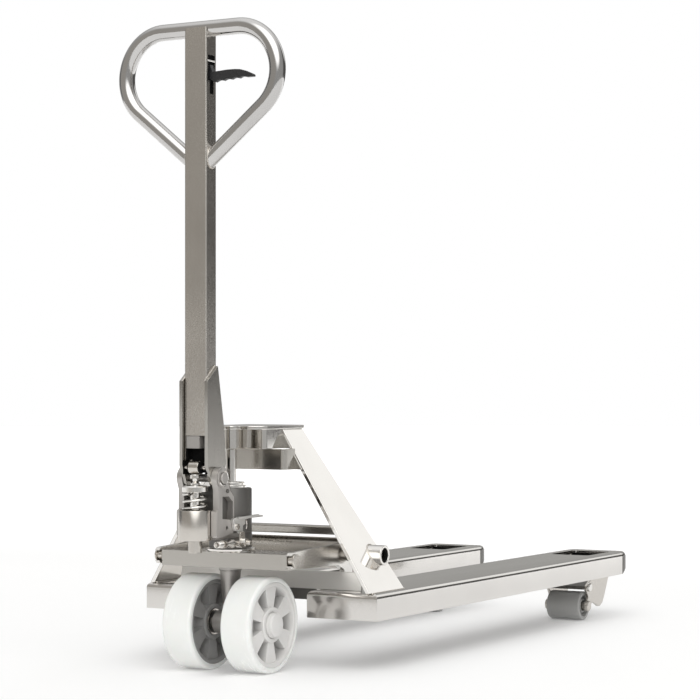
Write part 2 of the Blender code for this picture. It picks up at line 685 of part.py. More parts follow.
def build_pump_details():
    shank = [(0.0, -0.0500), (0.0095, -0.0500), (0.0105, -0.0490), (0.0105, -0.0441),
             (PIVOT_RADIUS, -0.0441), (PIVOT_RADIUS, 0.0441), (0.0105, 0.0441),
             (0.0105, 0.0490), (0.0095, 0.0500), (0.0, 0.0500)]
    pin = lathe(shank, "Y", (PIVOT_X, 0.0, PIVOT_Z), 20)
    add_part("pivot_pin", pin, "bright", (PIVOT_X, 0.0, PIVOT_Z))

    valve = [(0.0, -0.0640), (0.0045, -0.0640), (0.0045, -0.0560), (0.0080, -0.0555),
             (0.0080, -0.0480), (0.0110, -0.0475), (0.0110, -0.0357), (0.0, -0.0357)]
    body = lathe(valve, "Y", (-0.0300, 0.0, 0.2440), 6)
    add_part("release_valve", body, "bright")

    plate = [(-0.0680, 0.2868), (-0.0660, 0.2900), (0.0220, 0.2940), (0.0220, 0.2908),
             (-0.0270, 0.2866), (-0.0270, 0.2780), (-0.0345, 0.2750), (-0.0345, 0.2640),
             (-0.0375, 0.2610), (-0.0450, 0.2610), (-0.0475, 0.2640)]
    plate += arc(LATCH_PIVOT, 0.0085, -60, -200, 8)
    lever = prism(list(reversed(plate)), "Y", -0.0500, -0.0441)
    tab = box((-0.0600, 0.0220), (-0.0580, -0.0445), (0.2895, 0.2920))
    shank = [(0.0, -0.0535), (0.0060, -0.0535), (0.0060, -0.0490), (0.0040, -0.0460),
             (0.0040, -0.0350), (0.0, -0.0350)]
    pin = lathe(shank, "Y", (LATCH_PIVOT[0], 0.0, LATCH_PIVOT[1]), 12)
    lever = join(lever, tab, pin)
    add_part("release_lever", lever, "bright", (LATCH_PIVOT[0], -0.0470, LATCH_PIVOT[1]))


def build_plunger():
    turned = [(0.0, 0.2850), (0.0080, 0.2850), (0.0090, 0.2860), (0.0090, 0.3530),
              (0.0090, 0.3560), (0.0050, 0.3600), (0.0055, 0.3640), (0.0095, 0.3650),
              (0.0095, 0.3710), (0.0085, 0.3722), (0.0, 0.3722)]
    add_part("pump_plunger", lathe(turned, centre=(PLUNGER_X, 0.0, 0.0), segments=16),
             "bright", (PLUNGER_X, 0.0, 0.3530))
    cup = [(0.0093, 0.3399), (0.0230, 0.3399), (0.0240, 0.3409), (0.0240, 0.3490),
           (0.0215, 0.3515), (0.0130, 0.3527), (0.0093, 0.3527)]
    add_part("spring_cup", lathe(cup, centre=(PLUNGER_X, 0.0, 0.0), segments=20),
             "bright", (PLUNGER_X, 0.0, 0.3530))
    turns = 5.5
    steps = 10
    low, high = 0.2646, 0.3373
    path = []
    for i in range(int(turns * steps) + 1):
        angle = 2.0 * math.pi * i / steps
        height = low + (high - low) * i / (turns * steps)
        path.append((PLUNGER_X + 0.0212 * math.cos(angle),
                     0.0212 * math.sin(angle), height))
    spring = sweep(path, 0.0024, 6)
    add_part("return_spring", spring, "bright", (PLUNGER_X, 0.0, 0.2620))


# ---------------------------------------------------------------- steer wheels
def build_wheels():
    low, high = -WHEEL_OUTER, -WHEEL_INNER
    crown = 0.0045
    tyre = [(RIM_RADIUS, low), (WHEEL_RADIUS - crown, low),
            (WHEEL_RADIUS - 0.3 * crown, low + 0.3 * crown), (WHEEL_RADIUS, low + crown),
            (WHEEL_RADIUS, high - crown), (WHEEL_RADIUS - 0.3 * crown, high - 0.3 * crown),
            (WHEEL_RADIUS - crown, high), (RIM_RADIUS, high)]
    body = lathe(tyre, "Y", (0.0, 0.0, 0.0900), 32)
    add_pair("steer_tyre", body, "nylon", (0.0, -0.0643, 0.0900))

    rim = RIM_RADIUS - GAP
    middle = 0.5 * (low + high)
    web = 0.006
    hub = [(0.0103, low + 0.009), (0.0245, low + 0.009), (0.0245, low + 0.003),
           (0.0330, low + 0.002), (0.0335, low + 0.004), (0.0345, middle - web),
           (0.0690, middle - web), (0.0720, low + 0.0015), (rim, low + 0.0005),
           (rim, high - 0.0005), (0.0720, high - 0.0015), (0.0690, middle + web),
           (0.0345, middle + web), (0.0335, high - 0.004), (0.0330, high - 0.002),
           (0.0250, high - 0.003), (0.0250, high - 0.009), (0.0103, high - 0.009)]
    body = lathe(hub, "Y", (0.0, 0.0, 0.0900), 32)
    spokes = []
    for i in range(6):
        blade = spoke_block(60.0 * i + 30.0, low + 0.0065, high - 0.0065)
        bmesh.ops.translate(blade, verts=blade.verts, vec=(0.0, 0.0, 0.0900))
        spokes.append(blade)
    body = join(body, *spokes)
    add_pair("steer_hub", body, "grey", (0.0, -0.0643, 0.0900))

    cap = [(0.0, low - 0.0080), (0.0200, low - 0.0078), (0.0228, low - 0.0055),
           (0.0238, low - 0.0040), (0.0238, low + 0.0074), (0.0, low + 0.0074)]
    body = lathe(cap, "Y", (0.0, 0.0, 0.0900), 24)
    add_pair("hub_cap", body, "grey", (0.0, -0.0643, 0.0900))


def spoke_block(angle, low, high):
    """Broad spoke, wider at the rim, thick enough to stand proud of the web."""
    outline = arc((0.0, 0.0), 0.0325, angle - 17.0, angle + 17.0, 2)
    outline += arc((0.0, 0.0), 0.0712, angle + 15.5, angle - 15.5, 4)
    return prism(outline, "Y", low, high)


# ---------------------------------------------------------------- tiller
def build_tiller_tube():
    front = TILLER_REAR + TILLER_DEPTH
    corner = 0.003
    outer = []
    outer += arc((front - corner, TILLER_HALF - corner), corner, 0, 90, 3)
    outer += arc((TILLER_REAR + corner, TILLER_HALF - corner), corner, 90, 180, 3)
    outer += arc((TILLER_REAR + corner, -TILLER_HALF + corner), corner, 180, 270, 3)
    outer += arc((front - corner, -TILLER_HALF + corner), corner, 270, 360, 3)
    tube = prism(outer, "Z", TILLER_FOOT, TILLER_REAR_TOP)
    wall = TILLER_WALL
    hollow = box((TILLER_REAR + wall, front - wall),
                 (-TILLER_HALF + wall, TILLER_HALF - wall), (0.35, 1.25))
    saddle = rod("Y", (LOOP_X, LOOP_TOP), LOOP_RADIUS + 0.0008, -0.04, 0.04)
    crown = box((TILLER_REAR + wall, 0.0), (-0.04, 0.04), (TILLER_TOP + 0.010, 1.25))
    window = box((TILLER_REAR - 0.01, TILLER_REAR + wall + 0.001),
                 (-TILLER_HALF + wall, TILLER_HALF - wall), (0.35, TILLER_WINDOW))
    wide = box((-0.1135, -0.0905), (-0.04, -0.015), (1.0930, 1.1405))
    narrow = box((-0.1075, -0.0945), (-0.04, -0.015), (1.0690, 1.0940))
    tube = cut(tube, hollow, saddle, crown, window, wide, narrow)
    add_part("tiller_tube", tube, "steel", (PIVOT_X, 0.0, PIVOT_Z))


def build_loop():
    """Heart-shaped grip: one round bar from side to side of the tiller."""
    centre_y = LOOP_HALF - LOOP_BEND
    centre_z = LOOP_TOP - LOOP_BEND
    start = Vector((centre_y, centre_z))
    leave = Vector((math.sin(LOOP_SLOPE), -math.cos(LOOP_SLOPE))) * LOOP_BEND + start
    along = Vector((math.cos(LOOP_SLOPE), math.sin(LOOP_SLOPE)))
    foot = leave - along * ((leave.x - 0.0120) / along.x)
    half = [tuple(foot)]
    half += arc((centre_y, centre_z), LOOP_BEND, -90.0 + math.degrees(LOOP_SLOPE), 90, 12)
    whole = half + [(-y, z) for y, z in reversed(half)]
    bar = sweep([(LOOP_X, y, z) for y, z in whole], LOOP_RADIUS, 16)
    room = box((-0.16, -0.05), (-TILLER_HALF - GAP, TILLER_HALF + GAP), (0.85, TILLER_TOP - 0.001))
    add_part("handle_loop", cut(bar, room), "bright", (PIVOT_X, 0.0, PIVOT_Z))


def build_tiller_parts():
    origin = (PIVOT_X, 0.0, PIVOT_Z)
    outline = [(-0.1255, 0.5430), (-0.1255, 0.3880)]
    outline += arc((PIVOT_X, PIVOT_Z), 0.0185, 190, 350, 10)
    outline += [(-0.0635, 0.3900), (-0.0635, 0.3945), (-0.0705, 0.4621), (-0.0905, 0.5710)]
    ear = soften(prism(outline, "Y", -EAR_OUTER, -EAR_INNER), 0.0008, 60.0)
    ear = cut(ear, rod("Y", (PIVOT_X, PIVOT_Z), PIVOT_RADIUS + GAP, -0.05, -0.01, 20))
    add_pair("tiller_ear", ear, "steel", origin)

    block = box((TILLER_REAR + 0.0008, -0.0925), (-0.0085, 0.0205), (0.4195, 0.4425))
    add_part("tiller_block", soften(block, 0.0008), "grey", origin)
    roller = ring("Y", (-0.1170, 0.3847), 0.0043, 0.0119, -0.0105, 0.0105, 20, 0.0008)
    add_part("pressure_roller", roller, "nylon", (-0.1170, 0.0, 0.3847))
    pin = rod("Y", (-0.1170, 0.3847), 0.0040, -0.0240, 0.0240, 12)
    add_part("roller_pin", pin, "steel", (-0.1170, 0.0, 0.3847))
    pin = rod("X", (LEVER_Y, LEVER_Z), 0.0030, -0.1157, -0.0883, 16)
    add_part("lever_pin", pin, "steel", origin)


def build_lever():
    top = [(-0.0300, 1.1090), (-0.0600, 1.1108), (-0.0880, 1.1098), (-0.1050, 1.1040),
           (-0.1170, 1.0975)]
    grip = []
    for i in range(4):
        start = -0.1020 + 0.0165 * i
        base = 1.0945 - 0.0011 * i
        grip += [(start, base), (start + 0.0055, base + 0.0020),
                 (start + 0.0110, base + 0.0018)]
    hub = arc((LEVER_Y, LEVER_Z), 0.0090, -90, 90, 6)
    outline = [(-0.1170, 1.0948)] + grip + [(-0.0300, 1.0895), (-0.0245, 1.0945)]
    outline += [(-0.0100, 1.0995)] + hub + [(-0.0100, 1.1175), (-0.0245, 1.1225)]
    outline += top
    blade = prism(outline, "X", LEVER_X[0], LEVER_X[1])
    bore = rod("X", (LEVER_Y, LEVER_Z), 0.0033, -0.13, -0.08, 16)
    lever = cut(blade, bore)
    add_part("control_lever", lever, "black", (LEVER_X[0], LEVER_Y, LEVER_Z))

    beads = [(0.0, 0.4020)]
    count = 8
    for i in range(count):
        base = 0.4020 + 0.0050 * i
        beads += [(0.0014, base + 0.0002), (0.0026, base + 0.0016),
                  (0.0026, base + 0.0034), (0.0014, base + 0.0048)]
    beads += [(0.0014, 1.0945), (0.0, 1.0945)]
    chain = lathe(beads, "Z", (CHAIN_X, CHAIN_Y, 0.0), 6)
    add_part("release_chain", chain, "bright", (CHAIN_X, CHAIN_Y, 0.7000))


# ---------------------------------------------------------------- assembly
for stale in list(bpy.data.objects):
    bpy.data.objects.remove(stale, do_unlink=True)

build_forks()
build_legs()
build_head()
build_braces()
build_bushes()
build_ram()
build_bracket_pins()
build_rocker()
build_push_rods()
build_roller_brackets()
build_traverse()
build_pump_casting()
build_cylinders()
build_steering_post()
build_pump_details()
build_plunger()
build_wheels()
build_tiller_tube()
build_loop()
build_tiller_parts()
build_lever()
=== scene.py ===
"""Looks of the stainless pallet jack: shapes, surfaces, light and camera.

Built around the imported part.  Lengths are metres in the truck's own axes, with
X = 0 on the steering axis; the last step of each piece moves it into place.
Outlines given through mm() are in millimetres.
"""

import json
from math import cos, degrees, hypot, pi, radians, sin, tan

import bmesh
import bpy
from mathutils import Matrix, Vector, noise

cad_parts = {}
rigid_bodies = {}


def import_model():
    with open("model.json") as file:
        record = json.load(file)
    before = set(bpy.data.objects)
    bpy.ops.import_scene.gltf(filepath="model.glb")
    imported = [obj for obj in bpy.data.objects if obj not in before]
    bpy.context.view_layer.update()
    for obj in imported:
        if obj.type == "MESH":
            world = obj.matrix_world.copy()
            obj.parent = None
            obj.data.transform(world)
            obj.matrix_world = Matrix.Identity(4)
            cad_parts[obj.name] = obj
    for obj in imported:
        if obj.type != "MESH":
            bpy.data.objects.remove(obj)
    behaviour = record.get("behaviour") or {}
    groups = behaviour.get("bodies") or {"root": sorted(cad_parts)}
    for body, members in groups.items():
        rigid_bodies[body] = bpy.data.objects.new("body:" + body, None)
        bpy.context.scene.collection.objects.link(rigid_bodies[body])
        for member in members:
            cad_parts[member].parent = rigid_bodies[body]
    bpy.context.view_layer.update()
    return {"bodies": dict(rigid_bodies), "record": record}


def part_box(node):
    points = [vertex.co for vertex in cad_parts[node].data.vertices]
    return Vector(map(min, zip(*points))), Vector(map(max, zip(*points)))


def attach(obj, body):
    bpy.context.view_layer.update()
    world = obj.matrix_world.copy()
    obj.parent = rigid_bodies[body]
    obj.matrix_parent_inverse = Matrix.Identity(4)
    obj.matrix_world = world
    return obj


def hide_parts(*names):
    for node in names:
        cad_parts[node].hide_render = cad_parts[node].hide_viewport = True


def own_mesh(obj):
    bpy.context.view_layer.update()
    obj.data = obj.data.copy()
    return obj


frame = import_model()


def middle(node):
    low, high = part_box(node)
    return (low + high) / 2.0


# ---------------------------------------------------------------- dimensions
# SHAFT, BOLT, PIVOT, AXLE, ROLLER and the like are the (x, z) of an axis along Y;
# LEVER and VALVE are the (y, z) of one along X, CHAIN the (x, y) of one along Z.
SHIFT = middle("steering_post").x
BODY_OF = {}
for body_name, members in frame["record"]["behaviour"]["bodies"].items():
    for member in members:
        BODY_OF[member] = body_name
SIDED = set(frame["bodies"])

GAP = 0.0003
FORK_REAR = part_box("fork_right")[0].x - SHIFT
FORK_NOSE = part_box("fork_right")[1].x - SHIFT
FORK_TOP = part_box("fork_right")[1].z
FORK_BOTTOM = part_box("fork_right")[0].z
FORK_CENTRE = -middle("fork_right").y
FORK_HALF = 0.076
FORK_SIDE_END = FORK_NOSE - 0.042
FORK_SHEET = 0.005
FORK_BEND = 0.01

LEG_THICK = 0.008
LEG_FOOT = (0.2475, 0.147)
LEG_HEAD = (0.062, 0.452)
LEG_FOOT_X = (0.0925, 0.228)
LEG_HEAD_X = (0.0873, 0.159)

SHAFT_X = middle("torsion_shaft").x - SHIFT
SHAFT_Z = middle("torsion_shaft").z
SHAFT = (SHAFT_X, SHAFT_Z)
SHAFT_RADIUS = 0.013
SHAFT_TUBE_RADIUS = 0.03
BUSH_RADIUS = 0.019
BUSH_BORE = 0.0138
BUSH_INNER = 0.163
BUSH_OUTER = 0.231

TRAVERSE_REAR = -0.027
TRAVERSE_FRONT = 0.056
TRAVERSE_HALF = 0.1405
TRAVERSE_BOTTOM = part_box("traverse_plate")[0].z
TRAVERSE_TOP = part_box("traverse_plate")[1].z
BOLT_X = middle("traverse_bolt_right").x - SHIFT
BOLT = (BOLT_X, SHAFT_Z)
ARM_INNER = 0.1408
ARM_OUTER = 0.1508
CRANK_LENGTH = 0.0808

CYLINDER_RADIUS = 0.04
RAM_RADIUS = 0.0115
RAM_BORE = 0.0126
PLUNGER_X = -0.119
PUMP_RADIUS = 0.031
SPRING_WIRE = 0.0024
PIVOT_X = -0.095
PIVOT_Z = middle("pivot_pin").z
PIVOT_RADIUS = 0.0075
PIVOT = (PIVOT_X, PIVOT_Z)
LATCH_PIVOT = (-0.056, 0.2745)
VALVE = (-0.0455, 0.244)

TILLER_REAR = -0.119
TILLER_DEPTH = 0.034
TILLER_HALF = 0.024
TILLER_WALL = 0.003
TILLER_FOOT = 0.398
TILLER_WINDOW = 0.443
TILLER_TOP = 1.174
TILLER_REAR_TOP = 1.1905
PRESS_ROLLER = (-0.117, 0.3847)
EAR_INNER = 0.0243
EAR_OUTER = 0.0313
LUG_INNER = 0.0318
LUG_OUTER = 0.0438

LOOP_RADIUS = 0.015
LOOP_X = -0.1007
LOOP_TOP = 1.1895
LOOP_HALF = 0.1654
LOOP_BEND = 0.0836
LOOP_SLOPE = radians(38.8)

LEVER = (0.01, 1.1085)
LEVER_X = (-0.107, -0.097)
CHAIN = (-0.108, -0.0155)

WHEEL_RADIUS = 0.09
WHEEL_INNER = 0.0328
WHEEL_OUTER = 0.0958
RIM_RADIUS = 0.0795
AXLE_RADIUS = 0.01
AXLE = (0.0, WHEEL_RADIUS)

ROLLER_X = middle("load_roller_right").x - SHIFT
ROLLER_RADIUS = 0.0325
ROLLER = (ROLLER_X, ROLLER_RADIUS)
ROLLER_INNER = 0.144
ROLLER_OUTER = 0.224
BRACKET = (1.255, 0.122)
PLATE_IN = (0.1345, 0.1405)
PLATE_OUT = (0.2275, 0.2335)
RODPIN_X = 1.225
RODPIN_Z = 0.072
ROD_Y = (0.119, 0.129)


# ---------------------------------------------------------------- surfaces
class Nodes:
    """Short way to wire a node tree."""

    def __init__(self, tree):
        self.tree = tree

    def add(self, kind, **settings):
        node = self.tree.nodes.new(kind)
        for key, value in settings.items():
            setattr(node, key, value)
        return node

    def plug(self, value, socket):
        if hasattr(value, "is_output"):
            self.tree.links.new(value, socket)
        else:
            socket.default_value = value

    def fill(self, node, **values):
        for key, value in values.items():
            self.plug(value, node.inputs[key.replace("_", " ")])

    def mix(self, factor, one, two):
        node = self.add("ShaderNodeMix", data_type="RGBA")
        for slot, value in ((0, factor), (6, one), (7, two)):
            self.plug(value, node.inputs[slot])
        return node.outputs[2]


class Shader(Nodes):
    """A material's nodes."""

    def __init__(self, name):
        self.mat = bpy.data.materials.new(name)
        self.mat.use_nodes = True
        super().__init__(self.mat.node_tree)
        self.out = self.tree.nodes["Principled BSDF"]
        self.coords = self.add("ShaderNodeTexCoord").outputs["Object"]

    def stretch(self, scale):
        node = self.add("ShaderNodeMapping")
        self.fill(node, Vector=self.coords, Scale=scale)
        return node.outputs["Vector"]

    def noise(self, scale, detail=3.0, stretch=None, rough=0.5):
        node = self.add("ShaderNodeTexNoise")
        vector = self.stretch(stretch) if stretch else self.coords
        self.fill(node, Vector=vector, Scale=scale, Detail=detail, Roughness=rough)
        return node.outputs["Fac"]

    def remap(self, value, low, high, start=0.3, end=0.7):
        node = self.add("ShaderNodeMapRange")
        self.fill(node, Value=value, From_Min=start, From_Max=end, To_Min=low, To_Max=high)
        return node.outputs["Result"]

    def math(self, operation, one, two):
        node = self.add("ShaderNodeMath", operation=operation)
        self.plug(one, node.inputs[0])
        self.plug(two, node.inputs[1])
        return node.outputs[0]

    def bump(self, height, strength, distance, previous=None):
        node = self.add("ShaderNodeBump")
        self.fill(node, Strength=strength, Distance=distance, Height=height)
        if previous is not None:
            self.fill(node, Normal=previous)
        return node.outputs["Normal"]

    def edges(self, start=0.52, end=0.6):
        geometry = self.add("ShaderNodeNewGeometry")
        return self.remap(geometry.outputs["Pointiness"], 0.0, 1.0, start, end)

    def finish(self, **values):
        self.fill(self.out, **values)
        return self.mat


def shade(colour, factor):
    return tuple(c * factor for c in colour) + (1.0,)


def steel(name, colour, rough, streak=None, depth=0.00002, wave=0.0, wear=0.35):
    """Stainless sheet or bar; streak is the direction of the brushed lines."""
    s = Shader(name)
    cloud = s.noise(5.0, 4.0)
    fine = s.noise(260.0, 2.0)
    base = s.mix(s.remap(cloud, 0.0, 1.0), shade(colour, 0.94), shade(colour, 1.05))
    roughness = s.remap(cloud, rough * 0.85, rough * 1.15)
    roughness = s.math("ADD", roughness, s.remap(fine, -0.02, 0.02))
    normal = s.bump(fine, 0.12, 0.000004)
    if streak is not None:
        scale = [1.0 if i == "XYZ".index(streak) else 45.0 for i in range(3)]
        lines = s.noise(26.0, 5.0, scale, 0.65)
        roughness = s.math("ADD", roughness, s.remap(lines, -0.03, 0.035))
        base = s.mix(s.remap(lines, 0.0, 0.22), base, shade(colour, 0.82))
        normal = s.bump(lines, 0.35, depth, normal)
    if wave > 0.0:
        normal = s.bump(s.noise(9.0, 1.0), 0.5, wave, normal)
    worn = s.math("MULTIPLY", s.edges(), wear)
    base = s.mix(worn, base, shade(colour, 1.25))
    return s.finish(Base_Color=base, Metallic=1.0, Roughness=roughness, Normal=normal)


def cast(name, colour, rough):
    s = Shader(name)
    grain = s.noise(420.0, 3.0)
    lumps = s.noise(60.0, 3.0)
    cloud = s.noise(12.0, 4.0)
    base = s.mix(s.remap(cloud, 0.0, 1.0), shade(colour, 0.86), shade(colour, 1.1))
    base = s.mix(s.math("MULTIPLY", s.edges(0.51, 0.58), 0.5), base, shade(colour, 1.5))
    roughness = s.remap(cloud, rough - 0.06, rough + 0.06)
    normal = s.bump(grain, 0.3, 0.00005)
    normal = s.bump(lumps, 0.3, 0.0002, normal)
    return s.finish(Base_Color=base, Metallic=0.85, Roughness=roughness, Normal=normal)


def nylon(name, colour, rough, scuff, depth=0.00004, soft=0.0, gloss=0.5, recess=None):
    """Moulded nylon or rubber-like plastic with faint scuffs.

    recess gives the wheel's middle distance from the truck's middle plane and how far its faces
    stand from there; painted shade darkens the colour towards that middle, where the spoke
    pockets lie, and towards the wheel's inner side.
    """
    s = Shader(name)
    cloud = s.noise(14.0, 4.0)
    fine = s.noise(330.0, 3.0)
    marks = s.noise(36.0, 6.0, (1.0, 6.0, 1.0), 0.7)
    base = s.mix(s.remap(cloud, 0.0, 1.0), shade(colour, 0.96), shade(colour, 1.02))
    base = s.mix(s.remap(marks, 0.0, scuff, 0.58, 0.75), base, shade(colour, 0.62))
    base = s.mix(s.math("MULTIPLY", s.edges(), 0.3), base, shade(colour, 1.12))
    if recess is not None:
        apart = s.add("ShaderNodeSeparateXYZ")
        s.plug(s.coords, apart.inputs[0])
        across = s.math("ABSOLUTE", apart.outputs["Y"], 0.0)
        depth_in = s.math("ABSOLUTE", s.math("SUBTRACT", across, recess[0]), 0.0)
        # painted shade: the colour darkens towards the wheel's middle plane, standing in for the
        # shade in the spoke pockets
        painted_recess_shade = s.remap(depth_in, 0.62, 0.0, 0.005, recess[1])
        base = s.mix(painted_recess_shade, base, shade(colour, 0.25))
        # painted shade: the colour darkens towards the wheel's inner side, facing the truck's
        # middle
        painted_inner_side_shade = s.remap(across, 0.8, 0.0, recess[0] - recess[1], recess[0])
        base = s.mix(painted_inner_side_shade, base, shade(colour, 0.22))
    roughness = s.remap(cloud, rough - 0.05, rough + 0.08)
    roughness = s.math("ADD", roughness, s.remap(marks, -0.02, 0.1, 0.5, 0.75))
    normal = s.bump(fine, 0.3, depth)
    return s.finish(Base_Color=base, Metallic=0.0, Roughness=roughness, Normal=normal,
                    Subsurface_Weight=soft, Specular_IOR_Level=gloss)


STEEL = (0.6, 0.57, 0.53)
LIGHT = (0.78, 0.76, 0.73)
FINISH = {
    "mirror": steel("polished_sheet", LIGHT, 0.075, wave=0.0006),
    "sheet_x": steel("brushed_sheet_x", (0.68, 0.66, 0.635), 0.12, "X", 0.00001),
    "polished": steel("polished_round", LIGHT, 0.1, wave=0.00008),
    "brushed_x": steel("brushed_along_x", STEEL, 0.3, "X"),
    "brushed_y": steel("brushed_along_y", STEEL, 0.28, "Y"),
    "brushed_z": steel("brushed_along_z", STEEL, 0.23, "Z", 0.000004),
    # painted shade: the ears get a darker copy of the steel so that they read as in shade
    "ear": steel("ear_plate_shaded", (0.38, 0.365, 0.34), 0.2, "Z", 0.000004),
    "turned": steel("turned_steel", STEEL, 0.22, "Y"),
    "cast": cast("blasted_casting", (0.46, 0.44, 0.42), 0.42),
    "dark": cast("dark_casting", (0.145, 0.14, 0.132), 0.4),
    "weld": cast("weld_metal", (0.55, 0.52, 0.48), 0.33),
    "nylon": nylon("white_nylon", (0.885, 0.885, 0.865), 0.2, 0.1, soft=0.05),
    "hub": nylon("grey_nylon", (0.74, 0.73, 0.715), 0.38, 0.15,
                 recess=(0.5 * (WHEEL_INNER + WHEEL_OUTER), 0.025)),
    "roller": nylon("roller_nylon", (0.36, 0.36, 0.352), 0.38, 0.3),
    "plastic": nylon("black_plastic", (0.018, 0.018, 0.019), 0.42, 0.3, 0.00008),
    "seal": nylon("black_seal", (0.008, 0.008, 0.008), 0.8, 0.2, gloss=0.05),
    "satin": steel("satin_sheet", (0.47, 0.45, 0.42), 0.2, wave=0.00005),
    "chest": steel("shaded_sheet", (0.52, 0.5, 0.465), 0.2, wave=0.00005),
    "arm": steel("arm_plate", LIGHT, 0.2, "X", 0.00001),
    "bright": steel("bright_plate", (0.8, 0.79, 0.77), 0.42, wave=0.0002),
    "grip": steel("polished_grip", (0.58, 0.57, 0.56), 0.12, wave=0.00012, wear=0.2),
    "block": nylon("grey_block", (0.3, 0.285, 0.27), 0.4, 0.2),
}


# ---------------------------------------------------------------- shape tools
def mm(*points):
    """Points given in millimetres."""
    return [tuple(round(value / 1000.0, 6) for value in point) for point in points]


def place(axis, a, b, h):
    if axis == "X":
        return Vector((h, a, b))
    if axis == "Y":
        return Vector((a, h, b))
    return Vector((a, b, h))


def outward(bm):
    bmesh.ops.recalc_face_normals(bm, faces=bm.faces)
    return bm


def prism(points, axis, low, high):
    """Flat outline pushed along an axis."""
    bm = bmesh.new()
    first = [bm.verts.new(place(axis, a, b, low)) for a, b in points]
    last = [bm.verts.new(place(axis, a, b, high)) for a, b in points]
    bm.faces.new(first)
    bm.faces.new(list(reversed(last)))
    bridge(bm, first, last)
    return outward(bm)


def bridge(bm, one, two):
    count = len(one)
    for i in range(count):
        j = (i + 1) % count
        bm.faces.new((one[i], two[i], two[j], one[j]))


def box(x, y, z):
    outline = [(x[0], y[0]), (x[1], y[0]), (x[1], y[1]), (x[0], y[1])]
    return prism(outline, "Z", z[0], z[1])


def layers(outlines, heights):
    """Closed body made of outlines with equal point counts, one per height."""
    bm = bmesh.new()
    rings = []
    for outline, height in zip(outlines, heights):
        rings.append([bm.verts.new((a, b, height)) for a, b in outline])
    bm.faces.new(rings[0])
    bm.faces.new(list(reversed(rings[-1])))
    for low, high in zip(rings, rings[1:]):
        bridge(bm, low, high)
    return outward(bm)


def inset(points, distance):
    """Move every edge of a counter-clockwise outline inwards."""
    count = len(points)
    result = []
    for i in range(count):
        before = Vector(points[i - 1])
        here = Vector(points[i])
        after = Vector(points[(i + 1) % count])
        d1 = (here - before).normalized()
        d2 = (after - here).normalized()
        n1 = Vector((-d1.y, d1.x))
        n2 = Vector((-d2.y, d2.x))
        bisector = (n1 + n2).normalized()
        scale = distance / max(0.3, bisector.dot(n1))
        result.append(tuple(here + bisector * scale))
    return result


def flip(points, total=0.0):
    """Points in the opposite order with b turned into total - b."""
    return [(a, total - b) for a, b in reversed(points)]


def arc(centre, radius, start, end, steps):
    points = []
    for i in range(steps + 1):
        angle = radians(start + (end - start) * i / steps)
        points.append((centre[0] + radius * cos(angle), centre[1] + radius * sin(angle)))
    return points


def lathe(profile, axis="Z", centre=(0.0, 0.0, 0.0), segments=64):
    """Turn a profile of (radius, height) pairs about an axis."""
    bm = bmesh.new()
    rings = []
    for radius, height in profile:
        count = 1 if radius < 1e-7 else segments
        ring = []
        for i in range(count):
            angle = 2.0 * pi * i / segments
            ring.append(bm.verts.new(place(axis, radius * cos(angle),
                                           radius * sin(angle), height)))
        rings.append(ring)
    pairs = list(zip(rings, rings[1:]))
    if len(rings[0]) > 1:
        pairs.append((rings[-1], rings[0]))
    for one, two in pairs:
        if len(one) == len(two) == 1:
            continue
        for i in range(segments):
            j = (i + 1) % segments
            if len(one) == 1:
                bm.faces.new((one[0], two[i], two[j]))
            elif len(two) == 1:
                bm.faces.new((one[i], two[0], one[j]))
            else:
                bm.faces.new((one[i], two[i], two[j], one[j]))
    outward(bm)
    bmesh.ops.translate(bm, verts=bm.verts, vec=Vector(centre))
    return bm


def hoop(x, y, z, radius, count, stretch=1.0):
    """Closed path round an axis along Y, stretched along Z."""
    angles = [2.0 * pi * i / count for i in range(count + 1)]
    return [(x + radius * cos(a), y, z + radius * stretch * sin(a)) for a in angles]


def turn(profile, x, z, segments=96):
    """Turn a profile of (radius, y) pairs about an axis along Y."""
    return lathe(profile, "Y", (x, 0.0, z), segments)


def spot(axis, a, b):
    return {"X": (0.0, a, b), "Y": (a, 0.0, b), "Z": (a, b, 0.0)}[axis]


def rod(axis, centre, radius, low, high, segments=48):
    """Solid round bar; low and high are positions along the axis."""
    outline = [(0.0, low), (radius, low), (radius, high), (0.0, high)]
    return lathe(outline, axis, spot(axis, *centre), segments)


def ring(axis, centre, inner, outer, low, high, segments=64):
    outline = [(inner, low), (outer, low), (outer, high), (inner, high)]
    return lathe(outline, axis, spot(axis, *centre), segments)


def sweep(path, radius, segments=16, radii=None):
    """Round bar that follows a path of points."""
    bm = bmesh.new()
    path = [Vector(p) for p in path]
    side = (path[1] - path[0]).normalized().orthogonal().normalized()
    rings = []
    for i, point in enumerate(path):
        before = path[max(i - 1, 0)]
        after = path[min(i + 1, len(path) - 1)]
        along = (after - before).normalized()
        side = (side - along * side.dot(along)).normalized()
        up = along.cross(side)
        thick = radii[i] if radii else radius
        circle = []
        for k in range(segments):
            angle = 2.0 * pi * k / segments
            offset = side * cos(angle) + up * sin(angle)
            circle.append(bm.verts.new(point + offset * thick))
        rings.append(circle)
    for one, two in zip(rings, rings[1:]):
        bridge(bm, one, two)
    bm.faces.new(rings[0])
    bm.faces.new(list(reversed(rings[-1])))
    return outward(bm)


def temporary(bm):
    mesh = bpy.data.meshes.new("work")
    bm.to_mesh(mesh)
    bm.free()
    obj = bpy.data.objects.new("work", mesh)
    bpy.context.scene.collection.objects.link(obj)
    return obj


